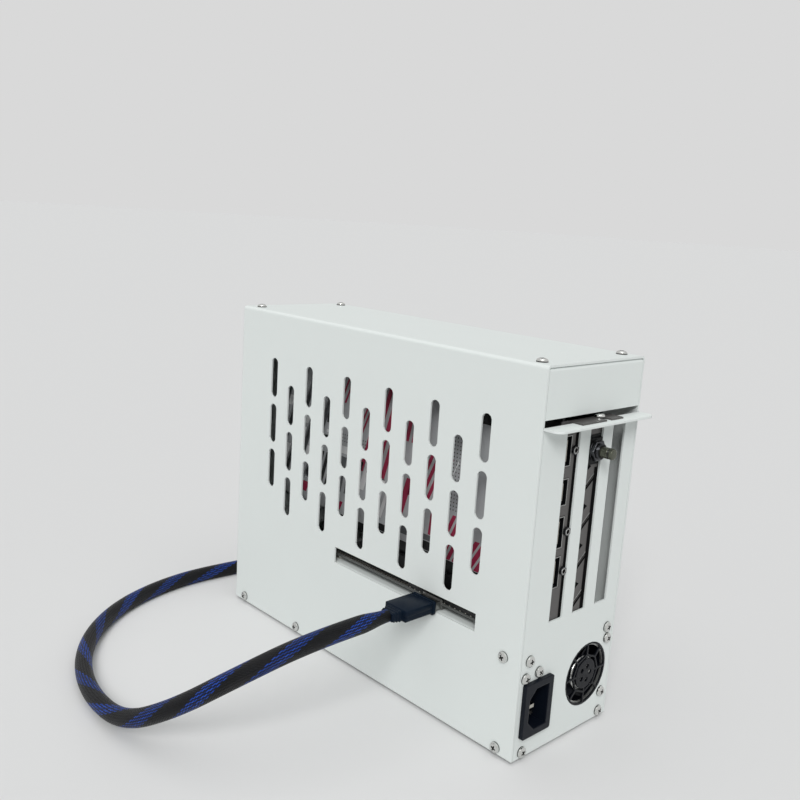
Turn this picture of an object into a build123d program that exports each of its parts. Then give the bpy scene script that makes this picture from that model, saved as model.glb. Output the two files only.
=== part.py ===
from build123d import *
import os
from math import atan, cos, degrees, pi, radians, sin, sqrt, tan

os.makedirs("parts", exist_ok=True)

# Flats that stand for a full turn on small and on larger round details
round_flats = 12
hub_flats = 24
bore_flats = 32

# Folded steel case
sheet = 1.2
bend_radius = 2.0
corner_relief = 2.6
panel_gap = 0.3
base_flange = 8.0
top_flange = 16.0
foot_height = 2.0
foot_diameter = 12.0
foot_inset = 20.0

# Slim power supply, which sets the width of the case
psu_length = 150.0
psu_width = 81.5
psu_height = 40.5
psu_wall = 1.0
psu_side_gap = 0.35
psu_lift = 10.0
psu_fit = 0.4

# Mid shelf, dock board and the standard rise from board to bracket tab
shelf_room = 0.5
shelf_flange = 8.9
standoff_height = 3.3
standoff_across_flats = 5.0
board_thickness = 1.6
tab_rise = 114.6
tab_gap = 3.5
strip_height = 27.3

# Graphics card, which sets the length of the case
card_length = 238.0
front_room = 20.3
bracket_gap = 0.3
bracket_sheet = 0.9

# Ledge that the card's bracket is screwed to
ledge_reach = 10.5
ledge_corner = 5.0

# Pan head screws
screw_head = 6.2
screw_taper = 22.0
screw_height = 1.9
screw_edge = 7.6
base_screw_rise = 3.5
side_screw_end = 11.3
side_screw_span = 188.5
top_screw_end = 10.0
shelf_screw_drop = 5.5

# Heights and lengths that follow from the stack of pieces
base_z = foot_height
floor_z = base_z + sheet
psu_z = floor_z + psu_lift
shelf_z = psu_z + psu_height + shelf_room + shelf_flange
board_z = shelf_z + standoff_height + board_thickness
ledge_z = board_z + tab_rise
strip_z = ledge_z + tab_gap
top_z = strip_z + strip_height
case_height = top_z - base_z
case_width = psu_width + 2 * (psu_side_gap + sheet)
case_length = card_length + front_room + bracket_gap + 2 * sheet
rear_x = (case_length + screw_height - ledge_reach) / 2
front_x = rear_x - case_length
side_y = case_width / 2
inside_y = side_y - sheet
panel_width = 2 * (inside_y - panel_gap)
inside_length = case_length - 2 * sheet
middle_x = (rear_x + front_x) / 2
inner_rear_x = rear_x - sheet
bracket_x = inner_rear_x - bracket_gap
corner_notch = bend_radius - sheet

# Vents, pressed through both sides of the cover in staggered columns
vent_length = 26.2
vent_width = 6.8
vent_pitch_x = 18.7
vent_pitch_z = 30.95
vent_rows = 3
vent_high_columns = 6
vent_low_columns = 5
vent_from_rear = 129.65
vent_lift = 5.75

# Long opening in the visible side for the link cable's plug
port_from_rear = 32.5
port_length = 119.6
port_height = 10.2
port_drop = 4.6

# Expansion slots in the rear panel
slot_first = 26.6
slot_pitch = 20.32
slot_count = 3
slot_width = 11.4
slot_rise = 7.2
slot_headroom = 3.0

# Power inlet
inlet_from_side = 15.85
inlet_rise = 16.4
inlet_flange_width = 23.3
inlet_flange_height = 31.0
inlet_flange = 2.5
inlet_body_width = 19.8
inlet_body_height = 27.0
inlet_depth = 21.0
inlet_cavity_width = 15.6
inlet_cavity_height = 23.4
inlet_cavity_depth = 16.0
inlet_chamfer = 5.2
inlet_corner = 1.2
pin_width = 4.0
pin_thickness = 2.0
pin_spread = 7.0
pin_offset = 2.0
line_pin_recess = 6.5
earth_pin_recess = 3.0
pin_tail = 6.0

# Power supply fan
psu_fan_from_side = 61.1
psu_fan_depth = 20.0
psu_fan_rim = 1.2
psu_fan_hub = 20.0
psu_fan_strut = 2.4
psu_fan_struts = 4
psu_fan_strut_depth = 2.0
psu_fan_blades = 7
psu_blade_pitch = 50.0
blade_thickness = 0.9
fan_tip_gap = 0.6
fan_end_gap = 0.8
shaft_diameter = 3.0
shaft_clearance = 0.05
guard_diameter = 37.1
guard_thickness = 1.0
guard_clearance = 0.15
guard_rim = 1.0
guard_bar = 1.1
guard_ring = 21.5
guard_disc = 17.6
guard_cells = 8
guard_hole = 3.0
guard_hole_circle = 8.4
guard_holes = 5

# Power supply inside
psu_board_lift = 3.0
psu_board_gap = 4.0
psu_board_length = 112.0
transformer_length = 30.0
transformer_width = 26.0
transformer_height = 22.0
psu_capacitor = 16.0
psu_capacitor_height = 28.0
psu_capacitor_pitch = 18.0
psu_part_inset = 22.0
psu_grommet = 18.0
psu_near_screws = ((5.3, 35.1), (16.3, 35.8))
psu_far_screws = ((6.5, 37.4), (7.3, 4.4))

# Dock board and what stands on it
board_from_rear = 24.0
board_length = 138.0
board_edge_gap = 3.2
board_width = 70.0
board_hole_inset = 5.0
shelf_hole_length = 44.0
shelf_hole_width = 50.0
shelf_hole_gap = 14.0
card_slot_from_rear = 46.5
card_slot_length = 89.0
card_slot_width = 7.5
card_slot_height = 11.25
card_slot_depth = 8.6
card_slot_end = 2.0
card_slot_play = 0.15
card_slot_bevel = 0.6
power_socket_length = 52.0
power_socket_width = 9.6
power_socket_height = 12.8
power_socket_wall = 1.2
power_socket_depth = 9.0
board_capacitor = 8.0
board_capacitor_height = 11.5
board_capacitor_pitch = 11.0
board_capacitor_count = 4

# Link port on the board and the plug in it
link_from_rear = 69.2
link_sill = 1.3
link_port_width = 15.4
link_port_height = 5.4
link_port_depth = 10.5
link_port_wall = 0.5
link_nose_play = 0.1
link_nose_depth = 8.0
link_plug_width = 16.6
link_plug_height = 6.6
link_plug_length = 21.5
link_plug_stand = 1.8
link_lip = 1.6
link_lip_step = 0.7
link_neck_width = 11.0
link_neck_length = 7.2
link_neck_taper = 8.0
link_edge = 0.9

# Graphics card
card_from_side = 18.8
card_board_thickness = 1.6
card_board_gap = 1.5
card_board_length = 182.0
card_height = 112.0
tongue_inset = 0.6
tongue_play = 0.4
backplate_gap = 2.3
backplate_end_gap = 1.8
backplate_thickness = 1.5
backplate_post = 4.0
backplate_inset = 18.0
backplate_drop = 7.8
backplate_corner = 3.0
backplate_notch = 16.0
backplate_notch_height = 18.0
backplate_slits = 5
backplate_slit_width = 5.0
backplate_slit_pitch = 11.0
backplate_slit_length = 78.0
backplate_slit_lean = 22.0
cooler_setback = 24.0
cooler_depth = 36.0
cooler_wall = 1.6
cooler_lift = 6.0
cooler_bevel = 5.0
heatsink_pedestal = 34.0
heatsink_lift = 3.0
heatsink_base = 4.0
fin_height = 14.5
fin_thickness = 0.8
fin_pitch = 4.5
card_fan_diameter = 84.0
card_fan_spread = 100.0
card_fan_base = 30.0
card_fan_base_height = 2.5
card_fan_hub = 32.0
card_fan_blades = 9
card_blade_pitch = 38.0
card_power_length = 18.0
card_power_height = 9.0
card_power_width = 10.0
card_power_from_end = 34.0
card_power_play = 0.4

# Card bracket and its ports
bracket_from_side = 17.6
bracket_width = 42.0
bracket_tail = 6.0
bracket_tab_inset = 6.3
bracket_notch = 4.4
bracket_notch_depth = 6.5
bracket_reach_back = 4.0
bracket_slits = 4
bracket_slit_pitch = 22.0
bracket_slit_width = 1.6
bracket_slit_length = 12.0
bracket_slit_lean = 38.0
bracket_slit_drop = 34.0
video_port_width = 7.0
video_port_lengths = (16.4, 14.6, 17.4, 17.4)
video_port_pitch = 21.9
video_port_drop = 15.0
video_port_depth = 17.0
video_port_stand = 0.1
video_port_wall = 0.7
video_port_cavity = 8.0
video_tongue = 1.4
video_port_play = 0.25
bracket_screw_flats = 4.4
bracket_screw_height = 1.4
bracket_screw_offset = 5.9

# Push button in the second slot
switch_drop = 17.0
holder_height = 13.0
holder_lip = 1.4
holder_lip_edge = 1.6
holder_play = 0.15
bushing_diameter = 7.6
bushing_length = 4.4
switch_can = 9.6
switch_can_length = 13.0
switch_terminal = 1.6
switch_terminal_length = 4.0
washer_diameter = 11.2
washer_thickness = 0.6
nut_across_flats = 10.4
nut_thickness = 2.2
cap_diameter = 6.0
cap_clearance = 0.1
cap_reach = 7.2
cap_travel = 2.0
cap_end_gap = 0.4
cap_chamfer = 0.7

# Link cable
cable_diameter = 10.0
cable_side_count = 8
cable_arc_share = 0.45
neck_diameter = 7.0
swell_length = 20.0


def from_rear(distance):
    """X of a point this far forward of the rear face."""
    return rear_x - distance


def from_side(distance):
    """Y of a point this far in from the visible side face."""
    return distance - side_y


def tray(length, width, depth, wall, bend, relief):
    """Open box of folded sheet standing on XY, its walls separated at the corners."""
    with BuildPart() as folded:
        Box(length, width, depth, align=(Align.CENTER, Align.CENTER, Align.MIN))
        fillet(folded.faces().sort_by(Axis.Z)[0].edges(), bend)
        offset(amount=-wall, openings=folded.faces().sort_by(Axis.Z)[-1])
        with GridLocations(length, width, 2, 2):
            Box(2 * relief, 2 * relief, 2 * depth, mode=Mode.SUBTRACT)
    return folded.part


with BuildPart() as pan_head:
    with BuildSketch():
        RegularPolygon(screw_head / 2, round_flats)
    extrude(amount=screw_height, taper=screw_taper)


def screw_heads(seats):
    """One group of pan head screws, each head standing on its seat along the seat's normal."""
    with BuildPart() as heads:
        for seat in seats:
            with Locations(seat.location):
                add(pan_head.part)
    return heads.part


def fan_blades(count, root, tip, depth, thickness, pitch):
    """Ring of pitched blades around Z, from inside the hub out to the tip radius."""
    slope = radians(pitch)
    chord = (depth - thickness * cos(slope)) / sin(slope)
    half_sweep = (chord * cos(slope) + thickness * sin(slope)) / 2
    root_plane = Plane(origin=(root, 0, 0), x_dir=(0, cos(slope), sin(slope)), z_dir=(1, 0, 0))
    with BuildPart() as blade:
        with BuildSketch(root_plane):
            Rectangle(chord, thickness)
        extrude(amount=sqrt(tip**2 - half_sweep**2) - root)
    with BuildPart() as ring:
        with PolarLocations(0, count):
            add(blade.part)
    return ring.part


def save(part, name):
    """Labels a finished piece and writes it."""
    part.label = name
    export_step(part, f"parts/{name}.step")


# One vent, upright, its round ends drawn with a few flats
with BuildSketch() as vent_shape:
    with GridLocations(1, vent_length - vent_width, 1, 2):
        RegularPolygon(vent_width / 2, round_flats, major_radius=False, rotation=180 / round_flats)
    make_hull()
vent = vent_shape.sketch

# Cover, one sheet folded down both sides
with BuildPart() as cover:
    with BuildSketch(Plane.YZ.offset(front_x)) as cover_outside:
        with Locations((0, base_z)):
            Rectangle(case_width, case_height, align=(Align.CENTER, Align.MIN))
        fillet(cover_outside.vertices().group_by(Axis.Y)[-1], bend_radius)
    extrude(amount=case_length)
    with BuildSketch(Plane.YZ.offset(front_x)) as cover_inside:
        with Locations((0, base_z)):
            Rectangle(2 * inside_y, case_height - sheet, align=(Align.CENTER, Align.MIN))
        fillet(cover_inside.vertices().group_by(Axis.Y)[-1], bend_radius - sheet)
    extrude(amount=case_length, mode=Mode.SUBTRACT)
    vent_x = from_rear(vent_from_rear)
    vent_z = (board_z + ledge_z) / 2 + vent_lift
    with BuildSketch(Plane.XZ.offset(side_y)):
        for columns, side_step in ((vent_high_columns, 1), (vent_low_columns, -1)):
            with Locations((vent_x, vent_z + side_step * vent_pitch_z / 4)):
                with GridLocations(2 * vent_pitch_x, vent_pitch_z, columns, vent_rows):
                    add(vent)
    extrude(amount=-case_width, mode=Mode.SUBTRACT)
    with BuildSketch(Plane.XZ.offset(side_y)):
        with Locations((from_rear(port_from_rear), board_z - port_drop)):
            Rectangle(port_length, port_height, align=(Align.MAX, Align.MIN))
    extrude(amount=-2 * sheet, mode=Mode.SUBTRACT)
save(cover.part, "cover")

# Base, a shallow tray whose flanges the cover and end panels are screwed to
base_tray = tray(inside_length, 2 * inside_y, base_flange, sheet, bend_radius, corner_relief)
with BuildPart() as base_plate:
    with Locations((middle_x, 0, base_z)):
        add(base_tray)
save(base_plate.part, "base_plate")

# Stick-on feet, set in from the edges
with BuildPart() as feet:
    with BuildSketch():
        with Locations((middle_x, 0)):
            with GridLocations(case_length - 2 * foot_inset, case_width - 2 * foot_inset, 2, 2):
                RegularPolygon(foot_diameter / 2, round_flats)
    extrude(amount=foot_height)
save(feet.part, "feet")

# Mid shelf, a tray turned upside down between the end panels
shelf_tray = tray(inside_length, 2 * inside_y, shelf_flange, sheet, bend_radius, corner_relief)
shelf_hole_x = from_rear(board_from_rear + board_length + shelf_hole_gap + shelf_hole_length / 2)
with BuildPart() as mid_shelf:
    with Locations(Location((middle_x, 0, shelf_z), (180, 0, 0))):
        add(shelf_tray)
    with BuildSketch(Plane.XY.offset(shelf_z)):
        with Locations((shelf_hole_x, 0)):
            Rectangle(shelf_hole_length, shelf_hole_width)
    extrude(amount=-2 * sheet, mode=Mode.SUBTRACT)
save(mid_shelf.part, "mid_shelf")

# Front panel, with a flange under the cover's top
with BuildPart() as front_panel:
    with BuildSketch(Plane.XZ) as front_fold:
        with BuildLine():
            Polyline(
                (front_x, base_z),
                (front_x, top_z - sheet),
                (front_x + top_flange, top_z - sheet),
                (front_x + top_flange, top_z - 2 * sheet),
                (front_x + sheet, top_z - 2 * sheet),
                (front_x + sheet, base_z),
                close=True,
            )
        make_face()
        front_outer = front_fold.vertices().sort_by_distance((front_x, top_z - sheet))[0]
        fillet(front_outer, bend_radius)
        front_inner = front_fold.vertices().sort_by_distance((front_x + sheet, top_z - 2 * sheet))[0]
        fillet(front_inner, bend_radius - sheet)
    extrude(amount=panel_width / 2, both=True)
    with Locations((front_x, 0, top_z - sheet)):
        with GridLocations(1, panel_width, 1, 2):
            Box(2 * top_flange + sheet, 2 * corner_notch, 2 * corner_notch, mode=Mode.SUBTRACT)
save(front_panel.part, "front_panel")

# Rear strip above the ledge, hung from the cover's top
with BuildPart() as rear_top_strip:
    with BuildSketch(Plane.XZ) as strip_fold:
        with BuildLine():
            Polyline(
                (rear_x, strip_z),
                (rear_x, top_z - sheet),
                (rear_x - top_flange, top_z - sheet),
                (rear_x - top_flange, top_z - 2 * sheet),
                (rear_x - sheet, top_z - 2 * sheet),
                (rear_x - sheet, strip_z),
                close=True,
            )
        make_face()
        strip_outer = strip_fold.vertices().sort_by_distance((rear_x, top_z - sheet))[0]
        fillet(strip_outer, bend_radius)
        strip_inner = strip_fold.vertices().sort_by_distance((rear_x - sheet, top_z - 2 * sheet))[0]
        fillet(strip_inner, bend_radius - sheet)
    extrude(amount=panel_width / 2, both=True)
    with Locations((rear_x, 0, top_z - sheet)):
        with GridLocations(1, panel_width, 1, 2):
            Box(2 * top_flange + sheet, 2 * corner_notch, 2 * corner_notch, mode=Mode.SUBTRACT)
save(rear_top_strip.part, "rear_top_strip")

# Rear panel, folded outwards at the top into the ledge
inlet_y = from_side(inlet_from_side)
inlet_z = psu_z + inlet_rise
psu_fan_y = from_side(psu_fan_from_side)
psu_fan_z = psu_z + psu_height / 2
psu_fan_size = psu_height - 2 * (psu_wall + psu_fit)
psu_fan_bore = psu_fan_size - 2 * psu_fan_rim
slot_bottom = board_z + slot_rise
slot_top = ledge_z - slot_headroom
slot_centre_z = (slot_bottom + slot_top) / 2
slot_places = [(from_side(slot_first + slot_pitch * slot), slot_centre_z) for slot in range(slot_count)]
with BuildPart() as rear_panel:
    with BuildSketch(Plane.XZ) as rear_fold:
        with BuildLine():
            Polyline(
                (inner_rear_x, base_z),
                (rear_x, base_z),
                (rear_x, ledge_z - sheet),
                (rear_x + ledge_reach / 2, ledge_z - sheet),
                (rear_x + ledge_reach / 2, ledge_z),
                (inner_rear_x, ledge_z),
                close=True,
            )
        make_face()
        fillet(rear_fold.vertices().sort_by_distance((rear_x, ledge_z - sheet))[0], bend_radius - sheet)
        fillet(rear_fold.vertices().sort_by_distance((inner_rear_x, ledge_z))[0], bend_radius)
    extrude(amount=panel_width / 2, both=True)
    with BuildSketch(Plane.XY.offset(ledge_z)) as ledge:
        with Locations((rear_x + ledge_reach, 0)):
            Rectangle(ledge_reach - panel_gap, case_width, align=(Align.MAX, Align.CENTER))
        fillet(ledge.vertices().group_by(Axis.X)[-1], ledge_corner)
    extrude(amount=-sheet)
    with BuildSketch(Plane.YZ.offset(rear_x)):
        with Locations(*slot_places):
            Rectangle(slot_width, slot_top - slot_bottom)
        with Locations((inlet_y, inlet_z)):
            Rectangle(inlet_body_width, inlet_body_height)
        with Locations((psu_fan_y, psu_fan_z)):
            RegularPolygon(guard_diameter / 2 + guard_clearance, bore_flats, major_radius=False)
    extrude(amount=-2 * sheet, mode=Mode.SUBTRACT)
save(rear_panel.part, "rear_panel")

# Screws of the case
top_seats = [
    Plane((x, y, top_z), z_dir=(0, 0, 1))
    for x in (from_rear(top_screw_end), front_x + top_screw_end)
    for y in (from_side(screw_edge), -from_side(screw_edge))
]
save(screw_heads(top_seats), "cover_top_screws")

base_screw_z = base_z + base_screw_rise
shelf_screw_z = shelf_z - shelf_screw_drop
side_places = [
    (from_rear(side_screw_end), shelf_screw_z),
    (from_rear(side_screw_end), base_screw_z),
    (from_rear(side_screw_span), base_screw_z),
    (front_x + side_screw_end, base_screw_z),
]
side_seats = [Plane((x, face * side_y, z), z_dir=(0, face, 0)) for x, z in side_places for face in (-1, 1)]
save(screw_heads(side_seats), "cover_side_screws")

end_places = [
    (y, z) for y in (from_side(screw_edge), -from_side(screw_edge)) for z in (base_screw_z, shelf_screw_z)
]
rear_seats = [Plane((rear_x, y, z), z_dir=(1, 0, 0)) for y, z in end_places]
save(screw_heads(rear_seats), "rear_panel_screws")
front_seats = [Plane((front_x, y, z), z_dir=(-1, 0, 0)) for y, z in end_places]
save(screw_heads(front_seats), "front_panel_screws")

# Power supply case, its rear wall against the rear panel
psu_x = inner_rear_x - psu_length / 2
psu_front_x = inner_rear_x - psu_length
with BuildPart() as psu_case:
    with Locations((psu_x, 0, psu_z)):
        Box(psu_length, psu_width, psu_height - psu_wall, align=(Align.CENTER, Align.CENTER, Align.MIN))
    offset(amount=-psu_wall, openings=psu_case.faces().sort_by(Axis.Z)[-1])
    with BuildSketch(Plane.YZ.offset(inner_rear_x)):
        with Locations((inlet_y, inlet_z)):
            Rectangle(inlet_body_width, inlet_body_height)
        with Locations((psu_fan_y, psu_fan_z)):
            RegularPolygon(psu_fan_bore / 2 - guard_rim, bore_flats, major_radius=False)
    extrude(amount=-2 * psu_wall, mode=Mode.SUBTRACT)
    with BuildSketch(Plane.YZ.offset(psu_front_x)):
        with Locations((0, psu_fan_z)):
            RegularPolygon(psu_grommet / 2, 6)
    extrude(amount=2 * psu_wall, mode=Mode.SUBTRACT)
save(psu_case.part, "psu_case")

with BuildPart() as psu_lid:
    with Locations((psu_x, 0, psu_z + psu_height - psu_wall)):
        Box(psu_length, psu_width, psu_wall, align=(Align.CENTER, Align.CENTER, Align.MIN))
save(psu_lid.part, "psu_lid")

# Power inlet with its flange outside the rear panel
inlet_back_x = rear_x + inlet_flange - inlet_depth
pin_places = [
    (inlet_y + pin_offset, inlet_z + pin_spread),
    (inlet_y + pin_offset, inlet_z - pin_spread),
    (inlet_y - pin_offset, inlet_z),
]
pin_recesses = (line_pin_recess, line_pin_recess, earth_pin_recess)
with BuildPart() as psu_inlet:
    with BuildSketch(Plane.YZ.offset(rear_x)):
        with Locations((inlet_y, inlet_z)):
            RectangleRounded(inlet_flange_width, inlet_flange_height, inlet_corner)
    extrude(amount=inlet_flange)
    with BuildSketch(Plane.YZ.offset(rear_x)):
        with Locations((inlet_y, inlet_z)):
            Rectangle(inlet_body_width, inlet_body_height)
    extrude(amount=inlet_flange - inlet_depth)
    with BuildSketch(Plane.YZ.offset(rear_x + inlet_flange)) as cavity:
        with Locations((inlet_y, inlet_z)):
            Rectangle(inlet_cavity_width, inlet_cavity_height)
        chamfer(cavity.vertices().group_by(Axis.X)[0], inlet_chamfer)
    extrude(amount=-inlet_cavity_depth, mode=Mode.SUBTRACT)
    with BuildSketch(Plane.YZ.offset(inlet_back_x)):
        with Locations(*pin_places):
            Rectangle(pin_width, pin_thickness)
    extrude(amount=inlet_depth, mode=Mode.SUBTRACT)
save(psu_inlet.part, "psu_inlet")

with BuildPart() as psu_inlet_pins:
    for place, recess in zip(pin_places, pin_recesses):
        with BuildSketch(Plane.YZ.offset(inlet_back_x - pin_tail)):
            with Locations(place):
                Rectangle(pin_width, pin_thickness)
        extrude(amount=pin_tail + inlet_depth - recess)
save(psu_inlet_pins.part, "psu_inlet_pins")

# Power supply fan: moulded guard, frame with its motor spider, and the rotor on its shaft
guard_plane = Plane(origin=(inner_rear_x, psu_fan_y, psu_fan_z), x_dir=(0, 1, 0), z_dir=(1, 0, 0))
guard_inner = guard_diameter / 2 - guard_rim
with BuildPart() as psu_fan_guard:
    with BuildSketch(guard_plane):
        RegularPolygon(guard_diameter / 2, bore_flats)
        RegularPolygon(guard_inner, bore_flats, mode=Mode.SUBTRACT)
        with PolarLocations((guard_inner + guard_ring / 2) / 2, guard_cells):
            Rectangle(guard_inner - guard_ring / 2 + guard_bar, guard_bar)
        RegularPolygon(guard_ring / 2 + guard_bar, guard_cells)
        RegularPolygon(guard_ring / 2, guard_cells, mode=Mode.SUBTRACT)
        with PolarLocations((guard_ring + guard_disc) / 4, guard_cells // 2):
            Rectangle((guard_ring - guard_disc) / 2 + guard_bar, guard_bar)
        RegularPolygon(guard_disc / 2, hub_flats)
        with PolarLocations(guard_hole_circle / 2, guard_holes):
            RegularPolygon(guard_hole / 2, guard_cells, mode=Mode.SUBTRACT)
    extrude(amount=guard_thickness)
save(psu_fan_guard.part, "psu_fan_guard")

psu_fan_x = inner_rear_x - psu_wall
fan_plane = Plane(origin=(psu_fan_x, psu_fan_y, psu_fan_z), x_dir=(0, 1, 0), z_dir=(-1, 0, 0))
spider_plane = fan_plane.offset(psu_fan_depth - psu_fan_strut_depth)
with BuildPart() as psu_fan_frame:
    with BuildSketch(fan_plane):
        Rectangle(psu_fan_size, psu_fan_size)
        RegularPolygon(psu_fan_bore / 2, bore_flats, major_radius=False, mode=Mode.SUBTRACT)
    extrude(amount=psu_fan_depth)
    with BuildSketch(spider_plane):
        with PolarLocations(psu_fan_bore / 4, psu_fan_struts, start_angle=180 / psu_fan_struts):
            Rectangle(psu_fan_bore / 2 + psu_fan_rim, psu_fan_strut)
        RegularPolygon(psu_fan_hub / 2, hub_flats)
        Circle(shaft_diameter / 2 + shaft_clearance, mode=Mode.SUBTRACT)
    extrude(amount=psu_fan_strut_depth)
save(psu_fan_frame.part, "psu_fan_frame")

psu_rotor_depth = psu_fan_depth - psu_fan_strut_depth - 2 * fan_end_gap
psu_blade_ring = fan_blades(
    psu_fan_blades,
    psu_fan_hub / 4,
    psu_fan_bore / 2 - fan_tip_gap,
    psu_rotor_depth,
    blade_thickness,
    psu_blade_pitch,
)
with BuildPart() as psu_fan_rotor:
    with BuildSketch(fan_plane.offset(fan_end_gap)):
        RegularPolygon(psu_fan_hub / 2, hub_flats)
    extrude(amount=psu_rotor_depth)
    with BuildSketch(fan_plane.offset(fan_end_gap + psu_rotor_depth)):
        Circle(shaft_diameter / 2)
    extrude(amount=fan_end_gap + psu_fan_strut_depth)
    with Locations(fan_plane.offset(fan_end_gap + psu_rotor_depth / 2).location):
        add(psu_blade_ring)
save(psu_fan_rotor.part, "psu_fan_rotor")

# Power supply board with its transformer and capacitors
psu_board_z = psu_z + psu_wall + psu_board_lift
psu_board_x = psu_front_x + psu_wall + psu_board_gap + psu_board_length / 2
with BuildPart() as psu_board:
    with Locations((psu_board_x, 0, psu_board_z)):
        Box(
            psu_board_length,
            psu_width - 2 * (psu_wall + psu_board_gap),
            board_thickness,
            align=(Align.CENTER, Align.CENTER, Align.MIN),
        )
    with Locations((psu_board_x, 0, psu_board_z - psu_board_lift)):
        with GridLocations(
            psu_board_length - standoff_across_flats,
            psu_width - 2 * (psu_wall + psu_board_gap) - standoff_across_flats,
            2,
            2,
        ):
            Box(
                standoff_across_flats,
                standoff_across_flats,
                psu_board_lift,
                align=(Align.CENTER, Align.CENTER, Align.MIN),
            )
save(psu_board.part, "psu_board")

psu_parts_z = psu_board_z + board_thickness
with BuildPart() as psu_transformer:
    with Locations((psu_board_x - psu_part_inset, 0, psu_parts_z)):
        Box(
            transformer_length,
            transformer_width,
            transformer_height,
            align=(Align.CENTER, Align.CENTER, Align.MIN),
        )
    chamfer(psu_transformer.edges().filter_by(Axis.Z), psu_wall)
save(psu_transformer.part, "psu_transformer")

with BuildPart() as psu_capacitors:
    with BuildSketch(Plane.XY.offset(psu_parts_z)):
        with Locations((psu_board_x + psu_part_inset, 0)):
            with GridLocations(psu_capacitor_pitch, psu_capacitor_pitch, 1, 2):
                RegularPolygon(psu_capacitor / 2, round_flats)
    extrude(amount=psu_capacitor_height)
save(psu_capacitors.part, "psu_capacitors")

# Four screws through the rear panel into the power supply
psu_screw_places = [(from_side(inset), rise) for inset, rise in psu_near_screws]
psu_screw_places += [(-from_side(inset), rise) for inset, rise in psu_far_screws]
psu_seats = [Plane((rear_x, y, psu_z + rise), z_dir=(1, 0, 0)) for y, rise in psu_screw_places]
save(screw_heads(psu_seats), "psu_screws")

# Dock board on hexagonal pillars
card_y = from_side(card_from_side)
card_face_y = card_y + card_board_thickness
board_y = -inside_y + board_edge_gap
board_x = from_rear(board_from_rear + board_length / 2)
link_x = from_rear(link_from_rear)
nose_width = link_port_width - 2 * (link_port_wall + link_nose_play)
nose_height = link_port_height - 2 * (link_port_wall + link_nose_play)
link_z = board_z - port_drop + link_sill + nose_height / 2
board_bottom_z = board_z - board_thickness
pillar_places = (board_x, board_y + board_width / 2)
with BuildPart() as dock_board:
    with BuildSketch(Plane.XY.offset(board_bottom_z)):
        with Locations((board_x, board_y)):
            Rectangle(board_length, board_width, align=(Align.CENTER, Align.MIN))
        with Locations((link_x, board_y)):
            Rectangle(
                link_port_width,
                link_port_depth,
                align=(Align.CENTER, Align.MIN),
                mode=Mode.SUBTRACT,
            )
    extrude(amount=board_thickness)
save(dock_board.part, "dock_board")

with BuildPart() as board_standoffs:
    with BuildSketch(Plane.XY.offset(shelf_z)):
        with Locations(pillar_places):
            with GridLocations(board_length - 2 * board_hole_inset, board_width - 2 * board_hole_inset, 2, 2):
                RegularPolygon(standoff_across_flats / 2, 6, major_radius=False)
    extrude(amount=standoff_height)
save(board_standoffs.part, "board_standoffs")

# Card slot, a long socket with a slit for the card's edge
card_slot_x = from_rear(card_slot_from_rear + card_slot_length / 2)
card_middle_y = card_y + card_board_thickness / 2
with BuildPart() as card_slot:
    with Locations((card_slot_x, card_middle_y, board_z)):
        Box(
            card_slot_length,
            card_slot_width,
            card_slot_height,
            align=(Align.CENTER, Align.CENTER, Align.MIN),
        )
    chamfer(card_slot.faces().sort_by(Axis.Z)[-1].edges(), card_slot_bevel)
    with Locations((card_slot_x, card_middle_y, board_z + card_slot_height)):
        Box(
            card_slot_length - 2 * card_slot_end,
            card_board_thickness + 2 * card_slot_play,
            card_slot_depth,
            align=(Align.CENTER, Align.CENTER, Align.MAX),
            mode=Mode.SUBTRACT,
        )
save(card_slot.part, "card_slot")

# Link port, a thin metal shell let into a notch in the board's edge
with BuildPart() as link_port:
    with Locations((link_x, board_y, link_z)):
        Box(link_port_width, link_port_depth, link_port_height, align=(Align.CENTER, Align.MIN, Align.CENTER))
        Box(
            link_port_width - 2 * link_port_wall,
            link_nose_depth,
            link_port_height - 2 * link_port_wall,
            align=(Align.CENTER, Align.MIN, Align.CENTER),
            mode=Mode.SUBTRACT,
        )
save(link_port.part, "link_port")

# Socket for the power supply's lead, and capacitors beside it
power_socket_y = board_y + board_width - power_socket_width / 2
with BuildPart() as board_power_socket:
    with Locations((board_x, power_socket_y, board_z)):
        Box(
            power_socket_length,
            power_socket_width,
            power_socket_height,
            align=(Align.CENTER, Align.CENTER, Align.MIN),
        )
    with Locations((board_x, power_socket_y, board_z + power_socket_height)):
        Box(
            power_socket_length - 2 * power_socket_wall,
            power_socket_width - 2 * power_socket_wall,
            power_socket_depth,
            align=(Align.CENTER, Align.CENTER, Align.MAX),
            mode=Mode.SUBTRACT,
        )
save(board_power_socket.part, "board_power_socket")

with BuildPart() as board_capacitors:
    with BuildSketch(Plane.XY.offset(board_z)):
        with Locations((board_x, board_y + board_width / 2)):
            with GridLocations(board_capacitor_pitch, 1, board_capacitor_count, 1):
                RegularPolygon(board_capacitor / 2, round_flats)
    extrude(amount=board_capacitor_height)
save(board_capacitors.part, "board_capacitors")

# Card's circuit board with the tongue that goes into the slot
card_x = bracket_x - bracket_sheet
card_bottom = board_z + card_slot_height + card_board_gap
card_top = card_bottom + card_height
tongue_bottom = board_z + card_slot_height - card_slot_depth + tongue_play
tongue_length = card_slot_length - 2 * (card_slot_end + tongue_inset)
with BuildPart() as card_board:
    with BuildSketch(Plane.XZ.offset(-card_y)):
        with Locations((card_x, card_bottom)):
            Rectangle(card_board_length, card_height, align=(Align.MAX, Align.MIN))
        with Locations((card_slot_x, tongue_bottom)):
            Rectangle(tongue_length, card_bottom - tongue_bottom, align=(Align.CENTER, Align.MIN))
    extrude(amount=-card_board_thickness)
save(card_board.part, "card_board")

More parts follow.
